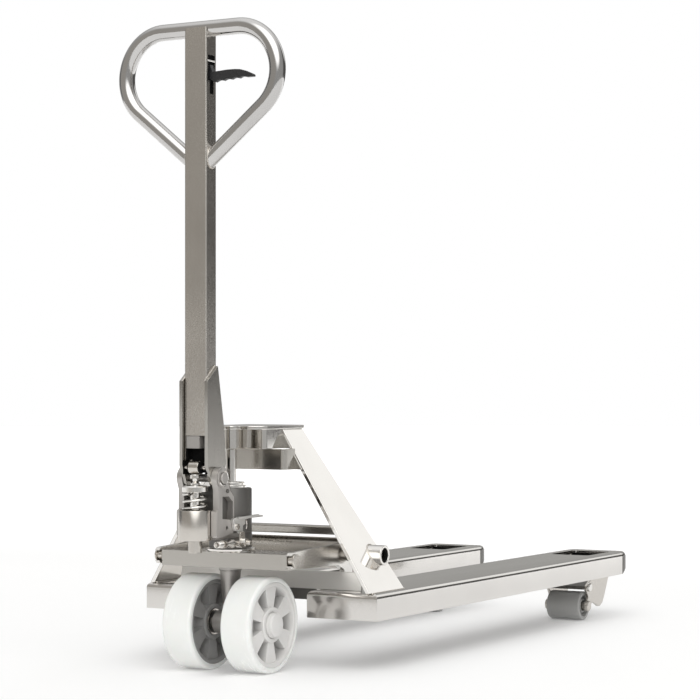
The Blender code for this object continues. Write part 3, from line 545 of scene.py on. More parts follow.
def combine(base, others, operation):
    """Join or cut solids one after the other."""
    current = temporary(base)
    for other in others:
        tool = temporary(other)
        step = current.modifiers.new("step", "BOOLEAN")
        step.operation = operation
        step.solver = "EXACT"
        step.object = tool
        graph = bpy.context.evaluated_depsgraph_get()
        mesh = bpy.data.meshes.new_from_object(current.evaluated_get(graph))
        result = bmesh.new()
        result.from_mesh(mesh)
        bpy.data.objects.remove(tool, do_unlink=True)
        bpy.data.objects.remove(current, do_unlink=True)
        bmesh.ops.remove_doubles(result, verts=result.verts, dist=0.00001)
        current = temporary(result)
    final = bmesh.new()
    final.from_mesh(current.data)
    bpy.data.objects.remove(current, do_unlink=True)
    return final


def join(base, *others):
    return combine(base, others, "UNION")


def cut(base, *others):
    return combine(base, others, "DIFFERENCE")


def together(*solids):
    """Several solids in one mesh, left as they are."""
    result = bmesh.new()
    for solid in solids:
        mesh = bpy.data.meshes.new("work")
        solid.to_mesh(mesh)
        solid.free()
        result.from_mesh(mesh)
        bpy.data.meshes.remove(mesh)
    return result


def mirrored(bm):
    """Copy of a right-hand solid for the left side."""
    copy = bm.copy()
    bmesh.ops.transform(copy, matrix=Matrix.Scale(-1.0, 4, (0, 1, 0)), verts=copy.verts)
    bmesh.ops.reverse_faces(copy, faces=copy.faces)
    return copy


def piece(name, bm, finish, body=None, edge=0.0, steps=3):
    """Finish a shown piece; without a body it stands for the node of its name."""
    bmesh.ops.translate(bm, verts=bm.verts, vec=(SHIFT, 0.0, 0.0))
    mesh = bpy.data.meshes.new("look_" + name)
    bm.to_mesh(mesh)
    bm.free()
    mesh.shade_smooth()
    mesh.materials.append(FINISH[finish])
    obj = bpy.data.objects.new("look_" + name, mesh)
    bpy.context.scene.collection.objects.link(obj)
    if edge > 0.0:
        bevel = obj.modifiers.new("edge", "BEVEL")
        bevel.width = edge
        bevel.segments = steps
        bevel.limit_method = "ANGLE"
        bevel.angle_limit = radians(28.0)
        bevel.harden_normals = True
        bevel.miter_outer = "MITER_ARC"
    else:
        mesh.set_sharp_from_angle(angle=radians(32.0))
    if body is None:
        body = BODY_OF[name]
        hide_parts(name)
    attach(obj, body)
    return obj


def pair(stem, bm, finish, body=None, edge=0.0, steps=3):
    """Right piece as drawn (negative Y) and its mirror image on the left."""
    left = mirrored(bm)
    for side, solid in (("right", bm), ("left", left)):
        rides = None
        if body is not None:
            rides = body + "_" + side if body + "_" + side in SIDED else body
        piece(stem + "_" + side, solid, finish, rides, edge, steps=steps)


def bead(path, radius):
    """Weld bead with the ripple that each pass leaves."""
    path = [Vector(p) for p in path]
    points = []
    for one, two in zip(path, path[1:]):
        count = max(2, int((two - one).length / 0.0022 * 3))
        points += [one.lerp(two, i / count) for i in range(count)]
    points.append(path[-1])
    radii = []
    for i, point in enumerate(points):
        swell = 1.0 + 0.25 * (0.5 + 0.5 * cos(2.0 * pi * i / 3.0))
        radii.append(radius * swell * (0.92 + 0.16 * noise.noise(point * 300.0)))
    radii[0] = radii[-1] = radius * 0.5
    return sweep(points, radius, 10, radii=radii)


# ---------------------------------------------------------------- frame
def fork_outline():
    half = FORK_HALF
    side = [(FORK_REAR, -half), (FORK_SIDE_END, -half), (1.283, -0.0758),
            (1.29, -0.0752), (1.297, -0.074), (1.3035, -0.0722), (1.309, -0.0697),
            (1.3135, -0.0662), (1.3165, -0.062), (FORK_NOSE, -0.056)]
    points = side + flip(side)
    return [(x, y - FORK_CENTRE) for x, y in points]


def rounded_box(x, y, corner):
    outline = []
    for i, (a, b) in enumerate(((1, 1), (0, 1), (0, 0), (1, 0))):
        centre = (x[a] + corner * (1 - 2 * a), y[b] + corner * (1 - 2 * b))
        outline += arc(centre, corner, 90 * i, 90 * (i + 1), 8)
    return outline


def build_forks():
    outline = fork_outline()
    outlines = [outline]
    heights = [FORK_BOTTOM]
    for i in range(9):
        angle = radians(90.0 * i / 8.0)
        outlines.append(inset(outline, FORK_BEND * (1.0 - cos(angle)) + 1e-6))
        heights.append(FORK_TOP - FORK_BEND + FORK_BEND * sin(angle))
    shell = layers(outlines, heights)
    hollow = prism(inset(outline, FORK_SHEET), "Z", FORK_BOTTOM - 0.02, FORK_TOP - FORK_SHEET)
    below = [(FORK_SIDE_END, FORK_BOTTOM), (1.3, FORK_BOTTOM + 0.012),
             (1.335, FORK_BOTTOM + 0.027), (1.335, FORK_BOTTOM - 0.02),
             (FORK_SIDE_END, FORK_BOTTOM - 0.02)]
    centre = -FORK_CENTRE
    slot = rounded_box((1.142, 1.272), (centre - 0.047, centre + 0.047), 0.01)
    roller_slot = prism(slot, "Z", FORK_TOP - 0.02, FORK_TOP + 0.01)
    crank_slot = box((0.147, 0.215), (-0.1538, -0.1378), (FORK_TOP - 0.02, FORK_TOP + 0.01))
    fork = cut(shell, hollow, prism(below, "Y", -0.3, -0.05), roller_slot, crank_slot)
    pair("fork", fork, "sheet_x", edge=0.0006, steps=2)
    # painted shade: a thin dark plate hugs the fork's nose so that the nose reads dark
    plate = prism(inset(outline, -0.0004), "Z", FORK_BOTTOM, FORK_TOP - 0.0085)
    inner = prism(inset(outline, 0.001), "Z", FORK_BOTTOM - 0.01, FORK_TOP)
    rest = box((FORK_REAR - 0.01, FORK_SIDE_END + 0.0008), (-0.3, -0.05),
               (FORK_BOTTOM - 0.01, FORK_TOP))
    pair("fork_nose", cut(plate, inner, rest, prism(below, "Y", -0.3, -0.05)), "dark", "frame")
    # painted shade: black sheets inside the hollow fork stand for the shade in there
    shadow_walls = []
    for side in (-1.0, 1.0):
        face = centre + side * (FORK_HALF - FORK_SHEET - 0.0002)
        back = face - side * 0.0005
        shadow_walls.append(box((FORK_REAR + 0.01, FORK_SIDE_END - 0.002),
                         (min(face, back), max(face, back)),
                         (FORK_BOTTOM + 0.001, FORK_TOP - FORK_SHEET - 0.0002)))
    inside = FORK_HALF - FORK_SHEET - 0.001
    shadow_walls.append(box((FORK_SIDE_END - 0.0015, FORK_SIDE_END - 0.001),
                     (centre - inside, centre + inside),
                     (FORK_BOTTOM + 0.001, FORK_TOP - FORK_SHEET - 0.0002)))
    pair("fork_lining", together(*shadow_walls), "seal", "frame")


def leg_side(height, outer=True):
    """Distance of the leg face from the middle plane at a given height."""
    share = (height - LEG_FOOT[1]) / (LEG_HEAD[1] - LEG_FOOT[1])
    face = LEG_FOOT[0] + (LEG_HEAD[0] - LEG_FOOT[0]) * share
    run = LEG_FOOT[0] - LEG_HEAD[0]
    rise = LEG_HEAD[1] - LEG_FOOT[1]
    depth = LEG_THICK * hypot(run, rise) / rise
    return face if outer else face - depth


def build_legs():
    outlines = []
    heights = (LEG_FOOT[1], LEG_HEAD[1])
    for height, (rear, front) in zip(heights, (LEG_FOOT_X, LEG_HEAD_X)):
        outer, inner = -leg_side(height), -leg_side(height, False)
        outlines.append([(rear, outer), (front, outer), (front, inner), (rear, inner)])
    leg = cut(layers(outlines, heights), rod("Y", SHAFT, BUSH_RADIUS + GAP, -0.26, -0.15, 64))
    pair("leg", leg, "mirror", edge=0.0012)

    foot = -leg_side(FORK_TOP + 0.0005) - 0.0008
    inner = -leg_side(FORK_TOP + 0.0005, False) + 0.0008
    welds = [bead([(LEG_FOOT_X[0] + 0.008, foot, FORK_TOP), (LEG_FOOT_X[1], foot, FORK_TOP)],
                  0.0014),
             bead([(LEG_FOOT_X[0] + 0.008, inner, FORK_TOP), (LEG_FOOT_X[1], inner, FORK_TOP)],
                  0.0018)]
    high = 0.451
    side = -leg_side(high, False) + 0.001
    welds.append(bead([(0.09, side, high - 0.002), (0.158, side, high - 0.002)], 0.0014))
    pair("leg_weld", together(*welds), "weld", "frame")


def bent_wall(rear, half, front, sheet, bend, low, high):
    """Sheet folded twice into a U that opens to the front."""
    outer = [(front, -half)]
    outer += arc((rear + bend, -half + bend), bend, 270, 180, 10)
    outer += arc((rear + bend, half - bend), bend, 180, 90, 10)
    outer += [(front, half)]
    tight = bend - sheet
    inner = [(front, half - sheet)]
    inner += arc((rear + bend, half - bend), tight, 90, 180, 10)
    inner += arc((rear + bend, -half + bend), tight, 180, 270, 10)
    inner += [(front, -half + sheet)]
    return prism(outer + inner, "Z", low, high)


def build_head():
    left = mm((30, 64.5), (24, 62.2), (18, 56), (11, 42), (4, 24))
    plan = mm((161, -65), (161, 65)) + left
    plan += arc((0.0, 0.0), 0.017, 75, 285, 28) + flip(left)
    piece("head_cap", prism(plan, "Z", 0.4523, 0.4592), "polished", edge=0.0018, steps=4)

    boss = mm((0, 415.8), (13.7, 415.8), (14.7, 416.8), (14.7, 452.1), (0, 452.1))
    piece("head_boss", lathe(boss), "polished")
    shell = bent_wall(0.025, 0.0605, 0.0868, 0.004, 0.009, 0.4158, 0.4521)
    piece("head_shell", shell, "mirror", edge=0.0005, steps=2)
    chest = bent_wall(0.05, 0.0892, 0.087, 0.005, 0.01, 0.3762, 0.4154)
    piece("chest_beam", chest, "chest", edge=0.0006, steps=2)

    upper = mm((-60, 415.8), (-82.5, 415.8), (-67.5, 441), (-60, 441))
    lower = mm((-89, 376.2), (-106, 376.2), (-89, 404))
    gussets = together(prism(upper, "X", 0.082, 0.0868), prism(lower, "X", 0.082, 0.0868))
    pair("leg_gusset", gussets, "chest", "frame", 0.0005)
    seam = mm((24.5, -50, 415.6), (24.5, 50, 415.6))
    rim = mm((16.5, -3, 452.1), (16.5, 3, 452.1))
    welds = [bead(seam, 0.001), bead(rim, 0.0008)]
    piece("head_weld", together(*welds), "weld", "frame")


def build_braces():
    low, high = 0.2487, 0.2642
    reach_low = leg_side(low, False) - GAP
    reach_high = leg_side(high, False) - GAP
    outline = [(-reach_low, low), (reach_low, low), (reach_high, high), (-reach_high, high)]
    piece("upper_brace", prism(outline, "X", 0.165, 0.205), "chest", edge=0.003, steps=5)
    plate = prism(mm((134, 147), (138.5, 147), (147.5, 181), (143, 181)), "Y", -0.205, 0.205)
    piece("lower_cross_plate", plate, "bright", edge=0.0008)
    flange = box((0.134, 0.137), (-0.1075, 0.1075), (0.126, 0.1469))
    piece("cross_plate_flange", flange, "dark", "frame", 0.0006)
    pair("brace_weld", together(
        bead([(0.1375, -0.19, FORK_TOP + 0.0012), (0.1375, -0.112, FORK_TOP + 0.0012)],
             0.0014),
        bead([(0.163, -reach_low + 0.001, low), (0.207, -reach_low + 0.001, low)], 0.0015)),
        "weld", "frame")

    bush = [(BUSH_BORE, -BUSH_OUTER), (BUSH_RADIUS, -BUSH_OUTER),
            (BUSH_RADIUS, -BUSH_INNER), (BUSH_BORE, -BUSH_INNER)]
    bush = turn(bush, *SHAFT, 64)
    pair("shaft_bush", bush, "polished", edge=0.0012)
    seal = ring("Y", SHAFT, SHAFT_RADIUS - 0.004, BUSH_BORE + 0.0001, -0.2285, -0.2235, 48)
    pair("bush_seal", seal, "seal", "frame", 0.0006)
    around = [(x, -leg_side(z) - 0.0002, z) for x, y, z in
              hoop(SHAFT_X, 0.0, SHAFT_Z, BUSH_RADIUS + 0.0006, 48)]
    pair("bush_weld", bead(around, 0.0012), "weld", "frame")

    ram = [(0.0, 0.3), (RAM_RADIUS - 0.001, 0.3), (RAM_RADIUS, 0.301),
           (RAM_RADIUS, 0.4145), (RAM_RADIUS - 0.001, 0.4155), (0.0, 0.4155)]
    piece("lift_ram", lathe(ram), "polished")
    pin = rod("Y", BRACKET, 0.006, -0.2547, -0.1133, 40)
    pair("bracket_pin", pin, "turned", edge=0.0006)


# ---------------------------------------------------------------- rocker
def build_rocker():
    outline = [(0.0, -0.222), (SHAFT_RADIUS - 0.001, -0.222),
               (SHAFT_RADIUS, -0.221), (SHAFT_RADIUS, -0.14),
               (SHAFT_TUBE_RADIUS - 0.001, -0.14), (SHAFT_TUBE_RADIUS, -0.139)]
    piece("torsion_shaft", turn(outline + flip(outline), *SHAFT), "brushed_y")

    foot = (SHAFT_X, SHAFT_Z - CRANK_LENGTH)
    rear = BOLT_X - 0.0155
    jaw = 0.0094
    outline = arc(foot, 0.0125, 180, 360, 20) + [(SHAFT_X + 0.016, SHAFT_Z - 0.029)]
    outline += arc(SHAFT, 0.029, -40, 130, 32)
    outline += [(BOLT_X + 0.03, SHAFT_Z + 0.017), (rear + 0.005, SHAFT_Z + 0.015),
                (rear, SHAFT_Z + jaw + 0.001), (rear, SHAFT_Z + jaw)]
    outline += arc((BOLT_X + 0.002, SHAFT_Z), jaw, 90, -90, 20)
    outline += [(rear, SHAFT_Z - jaw), (rear, SHAFT_Z - jaw - 0.001),
                (rear + 0.005, SHAFT_Z - 0.015), (BOLT_X + 0.03, SHAFT_Z - 0.017),
                (SHAFT_X - 0.04, SHAFT_Z - 0.019), (SHAFT_X - 0.016, SHAFT_Z - 0.029)]
    arm = prism(outline, "Y", -ARM_OUTER, -ARM_INNER)
    hole = rod("Y", SHAFT, SHAFT_RADIUS + 0.0005, -0.17, -0.12, 64)
    pair("rocker_arm", cut(arm, hole), "arm", edge=0.0016)
    pin = rod("Y", foot, 0.006, -ARM_INNER - 0.004, -0.1185, 40)
    pair("crank_pin", pin, "turned", "rocker", 0.0005)
    around = hoop(SHAFT_X, -0.1404, SHAFT_Z, 0.0292, 60)
    pair("arm_weld", bead(around, 0.0016), "weld", "rocker")


def build_push_rods():
    low, high = -ROD_Y[1], -ROD_Y[0]
    crank_z = SHAFT_Z - CRANK_LENGTH
    rear = mm((-15.5, -13.5), (24, -13.5), (24, 8.3), (9.5, 8.3), (9.5, -6.8), (-9.5, -6.8),
              (-9.5, 8.3), (-15.5, 8.3))
    end = prism([(SHAFT_X + x, crank_z + z) for x, z in rear], "Y", low, high)
    front = mm((-21, 62), (-9.5, 62), (-9.5, 100), (9.5, 100), (9.5, 62), (18, 62), (18, 112),
               (-8, 112), (-8, 133), (-21, 133))
    jaw = prism([(RODPIN_X + x, z) for x, z in front], "Y", low, high)
    bar = rod("X", (0.5 * (low + high), 0.1255), 0.0058, SHAFT_X + 0.02, RODPIN_X - 0.015, 40)
    pair("push_rod", together(bar, end, jaw), "brushed_x", edge=0.0007, steps=2)


# ---------------------------------------------------------------- load rollers
def build_rollers():
    outline = arc(BRACKET, 0.0175, -20, 110, 20)
    outline += mm((1164, 96), (1130, 78), (1128, 70), (1140, 52))
    outline += arc(ROLLER, 0.0125, 100, 320, 16)
    outline += mm((1162, 40), (1180, 34), (1196, 27), (1206, 26.2), (1220, 33), (1230, 46),
                  (1244, 70))
    plates = [prism(outline, "Y", -high, -low) for low, high in (PLATE_IN, PLATE_OUT)]
    tube = rod("Y", BRACKET, 0.011, -0.23, -0.138, 40)
    pin = rod("Y", (RODPIN_X, RODPIN_Z), 0.006, -0.14, -0.1185, 32)
    pair("roller_bracket", together(tube, pin, *plates), "brushed_z", edge=0.0008)

    web = mm((1129, 70), (1131, 77), (1164, 94.5), (1165.2, 92), (1133.5, 75.2), (1131.5, 69.5))
    pair("roller_web", prism(web, "Y", -0.2275, -0.1405), "dark", "bracket", 0.0003)
    shank = mm((0, -239.2), (7.8, -239.2), (9.4, -237.8), (9.8, -233.8), (6, -233.8),
               (6, -134.2), (9.5, -134.2), (9.5, -130.5), (0, -130.5))
    pair("bracket_bolt", turn(shank, 1.141, 0.0745, 48), "polished", edge=0.0004)
    shank = mm((0, -237.2), (10, -237.5), (12, -236), (12, -233.8), (8.5, -233.8), (8.5, -134.2),
               (12, -134.2), (12, -131.5), (0, -131.5))
    pair("load_axle", turn(shank, *ROLLER, 48), "turned", edge=0.0005)

    low, high = -ROLLER_OUTER, -ROLLER_INNER
    cup = low + 0.01
    edge = arc((low + 0.003, ROLLER_RADIUS - 0.003), 0.003, 180, 90, 6)
    edge = [(r, y) for y, r in edge]
    turned = [(0.009, cup), (0.012, cup), (0.0125, low + 0.003), (0.015, low + 0.003),
              (0.016, cup), (0.0225, cup - 0.001), (0.0238, low + 0.0015), (0.025, low)]
    turned += edge
    roller = turn(turned + flip(turned, low + high), *ROLLER, 72)
    pair("load_roller", roller, "roller")


# ---------------------------------------------------------------- traverse
def build_traverse():
    half = TRAVERSE_HALF
    right = [(TRAVERSE_REAR, -half + 0.005), (-0.0255, -half + 0.0018), (-0.022, -half),
             (0.035, -half), (TRAVERSE_FRONT, -half + 0.03)]
    plan = right + flip(right)
    plate = prism(plan, "Z", TRAVERSE_BOTTOM, TRAVERSE_TOP)
    bore = rod("Z", (0.0, 0.0), 0.0226, 0.18, 0.24, 64)
    holes = [rod("Y", BOLT, 0.0085, low, low + 0.041, 48) for low in (-0.16, 0.119)]
    piece("traverse_plate", cut(plate, bore, *holes), "satin", edge=0.0022, steps=4)

    shank = mm((0, -154.5), (11.4, -154.5), (12.7, -153.7), (12.7, -151.1), (8, -151.3),
               (8, -119.5), (0, -119.5))
    pair("traverse_bolt", turn(shank, *BOLT, 48), "brushed_y", edge=0.0004)
    bush = ring("Y", BOLT, 0.0078, 0.0086, -0.151, -0.1407, 48)
    pair("bolt_bush", bush, "brushed_y", "traverse")

    low = TRAVERSE_TOP + GAP
    race = [(0.0224, low), (0.0465, low), (0.047, low + 0.0006), (0.0465, low + 0.002),
            (0.044, low + 0.0024), (0.044, low + 0.0032), (0.047, low + 0.0036),
            (0.047, 0.2298), (0.0465, 0.2302), (0.0224, 0.2302)]
    piece("thrust_bearing", lathe(race, segments=96), "polished")


# ---------------------------------------------------------------- pump unit
def build_pump_casting():
    base = lathe([(0.0, 0.2305), (0.0385, 0.2305), (CYLINDER_RADIUS, 0.232),
                  (CYLINDER_RADIUS, 0.2614), (0.0, 0.2614)], segments=96)
    web = box((-0.1, -0.01), (-0.033, 0.033), (0.252, 0.2612))
    wall = box((-0.086, -0.042), (-0.033, 0.033), (0.255, 0.304))
    cheek = mm((-115, 260), (-110, 256), (-85, 258.5), (-60, 264), (-47, 270), (-45, 276),
               (-50, 283), (-56, 285), (-56, 329), (-70, 342), (-72, 350))
    cheek += arc(PIVOT, 0.0205, -20, 200, 36)
    cheek += mm((-108.5, 344), (-108.5, 307.5), (-115, 305))
    right = prism(cheek, "Y", -LUG_OUTER, -LUG_INNER)
    left = prism(cheek, "Y", LUG_INNER, LUG_OUTER)
    body = join(base, web, wall, right, left)
    well = rod("Z", (PLUNGER_X, 0.0), PUMP_RADIUS + GAP, 0.2, 0.42, 72)
    bore = rod("Z", (0.0, 0.0), RAM_BORE, 0.243, 0.3, 48)
    sleeve = rod("Z", (0.0, 0.0), CYLINDER_RADIUS + GAP, 0.2616, 0.36, 96)
    pin = rod("Y", PIVOT, PIVOT_RADIUS + GAP, -0.06, 0.06, 48)
    window = prism(mm((-95.3, 331), (-74, 331), (-60, 321), (-60, 286.5), (-95.3, 290.5)), "Y",
                   -0.06, 0.06)
    empty = rod("Y", (-0.08, 0.2735), 0.0034, -0.06, 0.06, 32)
    lug = rod("Y", LATCH_PIVOT, 0.0043, -0.06, -0.0345, 32)
    body = cut(body, well, bore, sleeve, pin, window, empty, lug)
    piece("pump_casting", body, "cast", edge=0.0012, steps=2)
    # painted shade: dark plates behind the casting's windows stand for the shade inside them
    shadow_sheet = box((-0.099, -0.0572), (-0.0312, -0.0306), (0.266, 0.333))
    pair("window_shade", shadow_sheet, "dark", "pump")
    # painted shade: a dark plate behind the return spring stands for the shade behind it
    back = box((-0.0925, -0.0915), (-0.0306, 0.0306), (0.3045, 0.35))
    piece("spring_back", back, "dark", "pump")
    foot = ring("Z", (0.0, 0.0), 0.038, CYLINDER_RADIUS + 0.0002, 0.2322, 0.2613, 96)
    piece("pump_foot", foot, "dark", "pump", 0.0004)


def build_cylinders():
    main = [(RAM_BORE, 0.2618), (CYLINDER_RADIUS, 0.2618), (CYLINDER_RADIUS, 0.341),
            (CYLINDER_RADIUS - 0.001, 0.3428), (CYLINDER_RADIUS - 0.0025, 0.3435),
            (RAM_BORE, 0.3435)]
    piece("main_cylinder", lathe(main, segments=96), "dark")
    collar = [(RAM_BORE, 0.3438), (0.031, 0.3438), (0.031, 0.3478), (0.027, 0.3482),
              (0.027, 0.353), (0.0258, 0.3543), (RAM_BORE, 0.3543)]
    piece("cylinder_collar", lathe(collar), "polished", edge=0.0003, steps=2)
    pump = [(0.0, 0.2285), (0.0118, 0.2285), (0.0128, 0.2295), (0.0128, 0.251), (0.0295, 0.251),
            (PUMP_RADIUS - 0.0003, 0.2516), (PUMP_RADIUS, 0.2525), (PUMP_RADIUS, 0.3055),
            (PUMP_RADIUS - 0.0005, 0.3066), (PUMP_RADIUS - 0.0015, 0.307), (0.025, 0.307),
            (0.0245, 0.3064), (0.0245, 0.262), (0.0094, 0.262), (0.0094, 0.2405), (0.0, 0.2405)]
    piece("pump_cylinder", lathe(pump, centre=(PLUNGER_X, 0.0, 0.0), segments=96), "brushed_z")

    post = mm((0, 230.2), (22, 230.2), (22, 190), (20.5, 188), (19.5, 186), (15, 125), (15, 90),
              (0, 90))
    boss = mm((0, -29), (20, -29), (21.5, -27.5), (21.5, 27.5), (20, 29), (0, 29))
    boss = turn(boss, *AXLE, 64)
    axle = rod("Y", AXLE, AXLE_RADIUS + GAP, -0.05, 0.05, 48)
    piece("steering_post", cut(join(lathe(post), boss), axle), "cast", edge=0.0008)
    piece("steer_axle", rod("Y", AXLE, AXLE_RADIUS, -0.088, 0.088, 48), "turned", edge=0.001)
    pair("axle_washer", ring("Y", AXLE, AXLE_RADIUS + 0.0004, 0.0165, -0.0322, -0.0293, 48),
         "dark", "pump", 0.0005)


def build_pump_details():
    shank = [(0.0, -0.05), (0.009, -0.05), (0.0105, -0.0488), (0.0105, -0.0441),
             (PIVOT_RADIUS, -0.0441), (PIVOT_RADIUS, 0.0441), (0.0105, 0.0441),
             (0.0105, 0.0488), (0.009, 0.05), (0.0, 0.05)]
    piece("pivot_pin", turn(shank, *PIVOT, 48), "cast", edge=0.0004)
    clip = [(PIVOT_X + 0.0138 * cos(radians(a)), -0.0462,
             PIVOT_Z + 0.0138 * sin(radians(a))) for a in range(-150, 61, 6)]
    piece("snap_ring", sweep(clip, 0.0017, 12), "polished", "pump")
    clip = [(x, -y, z) for x, y, z in clip]
    piece("snap_ring_left", sweep(clip, 0.0017, 12), "polished", "pump")
    collar = ring("Y", PIVOT, 0.0112, 0.0182, -0.0455, -0.0439)
    pair("pivot_collar", collar, "cast", "pump", 0.0006)

    valve = mm((0, -64), (4.5, -64), (4.5, -56), (8, -55.5), (8, -48), (11, -47.5), (11, -35.7),
               (0, -35.7))
    piece("release_valve", turn(valve, -0.03, 0.244, 6), "turned", edge=0.0004)

    plate = mm((-68, 286.8), (-66, 290), (22, 294), (22, 290.8), (-27, 286.6), (-27, 278),
               (-34.5, 275), (-34.5, 264), (-37.5, 261), (-45, 261), (-47.5, 264))
    plate += arc(LATCH_PIVOT, 0.0085, -60, -200, 20)
    lever = prism(list(reversed(plate)), "Y", -0.05, -0.0441)
    tab = box((-0.06, 0.022), (-0.058, -0.0495), (0.289, 0.2925))
    piece("release_lever", together(lever, tab), "bright", edge=0.0006, steps=2)
    pin = mm((0, -53.5), (4.8, -53.5), (6, -52.5), (6, -49.9), (0, -49.9))
    pin = turn(pin, *LATCH_PIVOT, 32)
    hook = [(-0.03 + 0.003 * sin(a), -0.053, 0.277 + 0.0085 * cos(a))
            for a in (0.0, 0.5, 1.0, 1.5, 2.0, 2.5, 3.0)]
    piece("release_pin", together(pin, sweep(hook, 0.0012, 10)), "turned", "release_lever")
    strap = mm((-54, 241), (-50, 237), (-38, 237), (-34.5, 241), (-34.5, 262.5), (-36.5, 265),
               (-47, 265), (-51, 260))
    strap = prism(strap, "Y", -0.054, -0.0512)
    knob = mm((0, -60), (3, -59.8), (4.2, -58.5), (4.2, -56), (6.2, -55.8), (6.2, -54.1),
              (0, -54.1))
    piece("valve_strap", strap, "turned", "pump", 0.0008)
    piece("valve_knob", turn(knob, -0.0425, 0.248, 32), "polished", "pump")

    coil = []
    for i in range(5 * 14 + 1):
        angle = 2.0 * pi * i / 14.0
        coil.append((-0.118 + 0.017 * i / 70.0, VALVE[0] + 0.0052 * sin(angle),
                     VALVE[1] + 0.0052 * cos(angle)))
    spring = sweep(coil, 0.0011, 8)
    stud = mm((0, -120), (3, -120), (3, -101), (7.2, -100.8), (7.2, -98.5), (5, -98.2), (5, -95),
              (7.2, -94.7), (7.2, -91.5), (3.8, -91), (3.8, -80), (8.5, -72), (8.5, -66),
              (6.2, -65), (6.2, -42), (0, -42))
    piece("valve_spring", spring, "polished", "pump")
    piece("valve_stud", lathe(stud, "X", (0.0, *VALVE), 40), "turned", "pump")

    screw = mm((0, -46.2), (4.2, -46.2), (4.2, -43.7), (0, -43.7))
    piece("cheek_screw", turn(screw, -0.079, 0.341, 6), "dark", "pump", 0.0003)


def build_plunger():
    turned = mm((0, 285), (8, 285), (9, 286), (9, 356), (5, 360), (5.5, 364), (9.5, 365),
                (9.5, 371), (8.8, 372), (0, 372.4))
    piece("pump_plunger", lathe(turned, centre=(PLUNGER_X, 0.0, 0.0), segments=48), "polished")
    cup = mm((9.3, 339.9), (23, 339.9), (24, 340.9), (24, 349), (21.5, 351.5), (13, 352.7),
             (9.3, 352.7))
    piece("spring_cup", lathe(cup, centre=(PLUNGER_X, 0.0, 0.0)), "polished")
    turns = 5.5
    steps = 36
    low, high = 0.266, 0.3373
    path = []
    for i in range(int(turns * steps) + 1):
        angle = 2.0 * pi * i / steps
        height = low + (high - low) * i / (turns * steps)
        path.append((PLUNGER_X + 0.0212 * cos(angle), 0.0212 * sin(angle), height))
    spring = piece("return_spring", sweep(path, SPRING_WIRE, 14), "polished")
    top = high + SPRING_WIRE
    height = top - low + SPRING_WIRE
    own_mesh(spring)


# ---------------------------------------------------------------- steer wheels
def build_wheels():
    low, high = -WHEEL_OUTER, -WHEEL_INNER
    crown = 0.0065
    tread = arc((low + crown, WHEEL_RADIUS - crown), crown, 180, 90, 10)
    tread = [(r, y) for y, r in tread]
    tyre = [(RIM_RADIUS, low + 0.0006), (RIM_RADIUS + 0.0006, low)] + tread
    tyre += flip(tyre, low + high)
    pair("steer_tyre", turn(tyre, *AXLE, 128), "nylon")

    rim = RIM_RADIUS - GAP
    centre = 0.5 * (low + high)
    web = 0.006
    outer = [(0.0103, low + 0.009), (0.0245, low + 0.009), (0.0245, low + 0.003),
             (0.0262, low + 0.0022), (0.0325, low + 0.002), (0.0335, low + 0.0035),
             (0.0345, centre - web - 0.003), (0.0375, centre - web),
             (0.066, centre - web), (0.069, centre - web - 0.003),
             (0.0715, low + 0.0035), (0.073, low + 0.0012), (rim, low + 0.0005)]
    inner = [(rim, high - 0.0005), (0.073, high - 0.0012), (0.0715, high - 0.0035),
             (0.069, centre + web + 0.003), (0.066, centre + web), (0.0375, centre + web),
             (0.0345, centre + web + 0.003), (0.0335, high - 0.0035), (0.0325, high - 0.002),
             (0.0255, high - 0.0025), (0.025, high - 0.009), (0.0103, high - 0.009)]
    body = turn(outer + inner, *AXLE)
    spokes = []
    for i in range(6):
        blade = spoke_block(60.0 * i + 30.0, low + 0.0065, high - 0.0065)
        bmesh.ops.translate(blade, verts=blade.verts, vec=(0.0, 0.0, WHEEL_RADIUS))
        spokes.append(blade)
    pair("steer_hub", together(body, *spokes), "hub", edge=0.0012, steps=3)

    cap = [(0.0, low - 0.008), (0.0185, low - 0.0079), (0.0205, low - 0.0074),
           (0.0218, low - 0.0062), (0.0222, low - 0.0046), (0.0222, low - 0.001),
           (0.0238, low - 0.0002), (0.0238, low + 0.0074), (0.0, low + 0.0074)]
    pair("hub_cap", turn(cap, *AXLE, 72), "hub")

    face = high - 0.0015
    races = [ring("Y", AXLE, 0.0212, 0.0247, face - 0.0065, face),
             ring("Y", AXLE, 0.0104, 0.0138, face - 0.0065, face)]
    pair("bearing_races", together(*races), "turned", "wheel", 0.0004)
    shield = ring("Y", AXLE, 0.0139, 0.0211, face - 0.006, face - 0.001)
    pair("bearing_shield", shield, "dark", "wheel", 0.0004)


def spoke_block(angle, low, high):
    """Broad spoke, wider at the rim, thick enough to stand proud of the web."""
    outline = arc((0.0, 0.0), 0.0325, angle - 17.0, angle + 17.0, 6)
    outline += arc((0.0, 0.0), 0.0712, angle + 15.5, angle - 15.5, 12)
    return prism(outline, "Y", low, high)


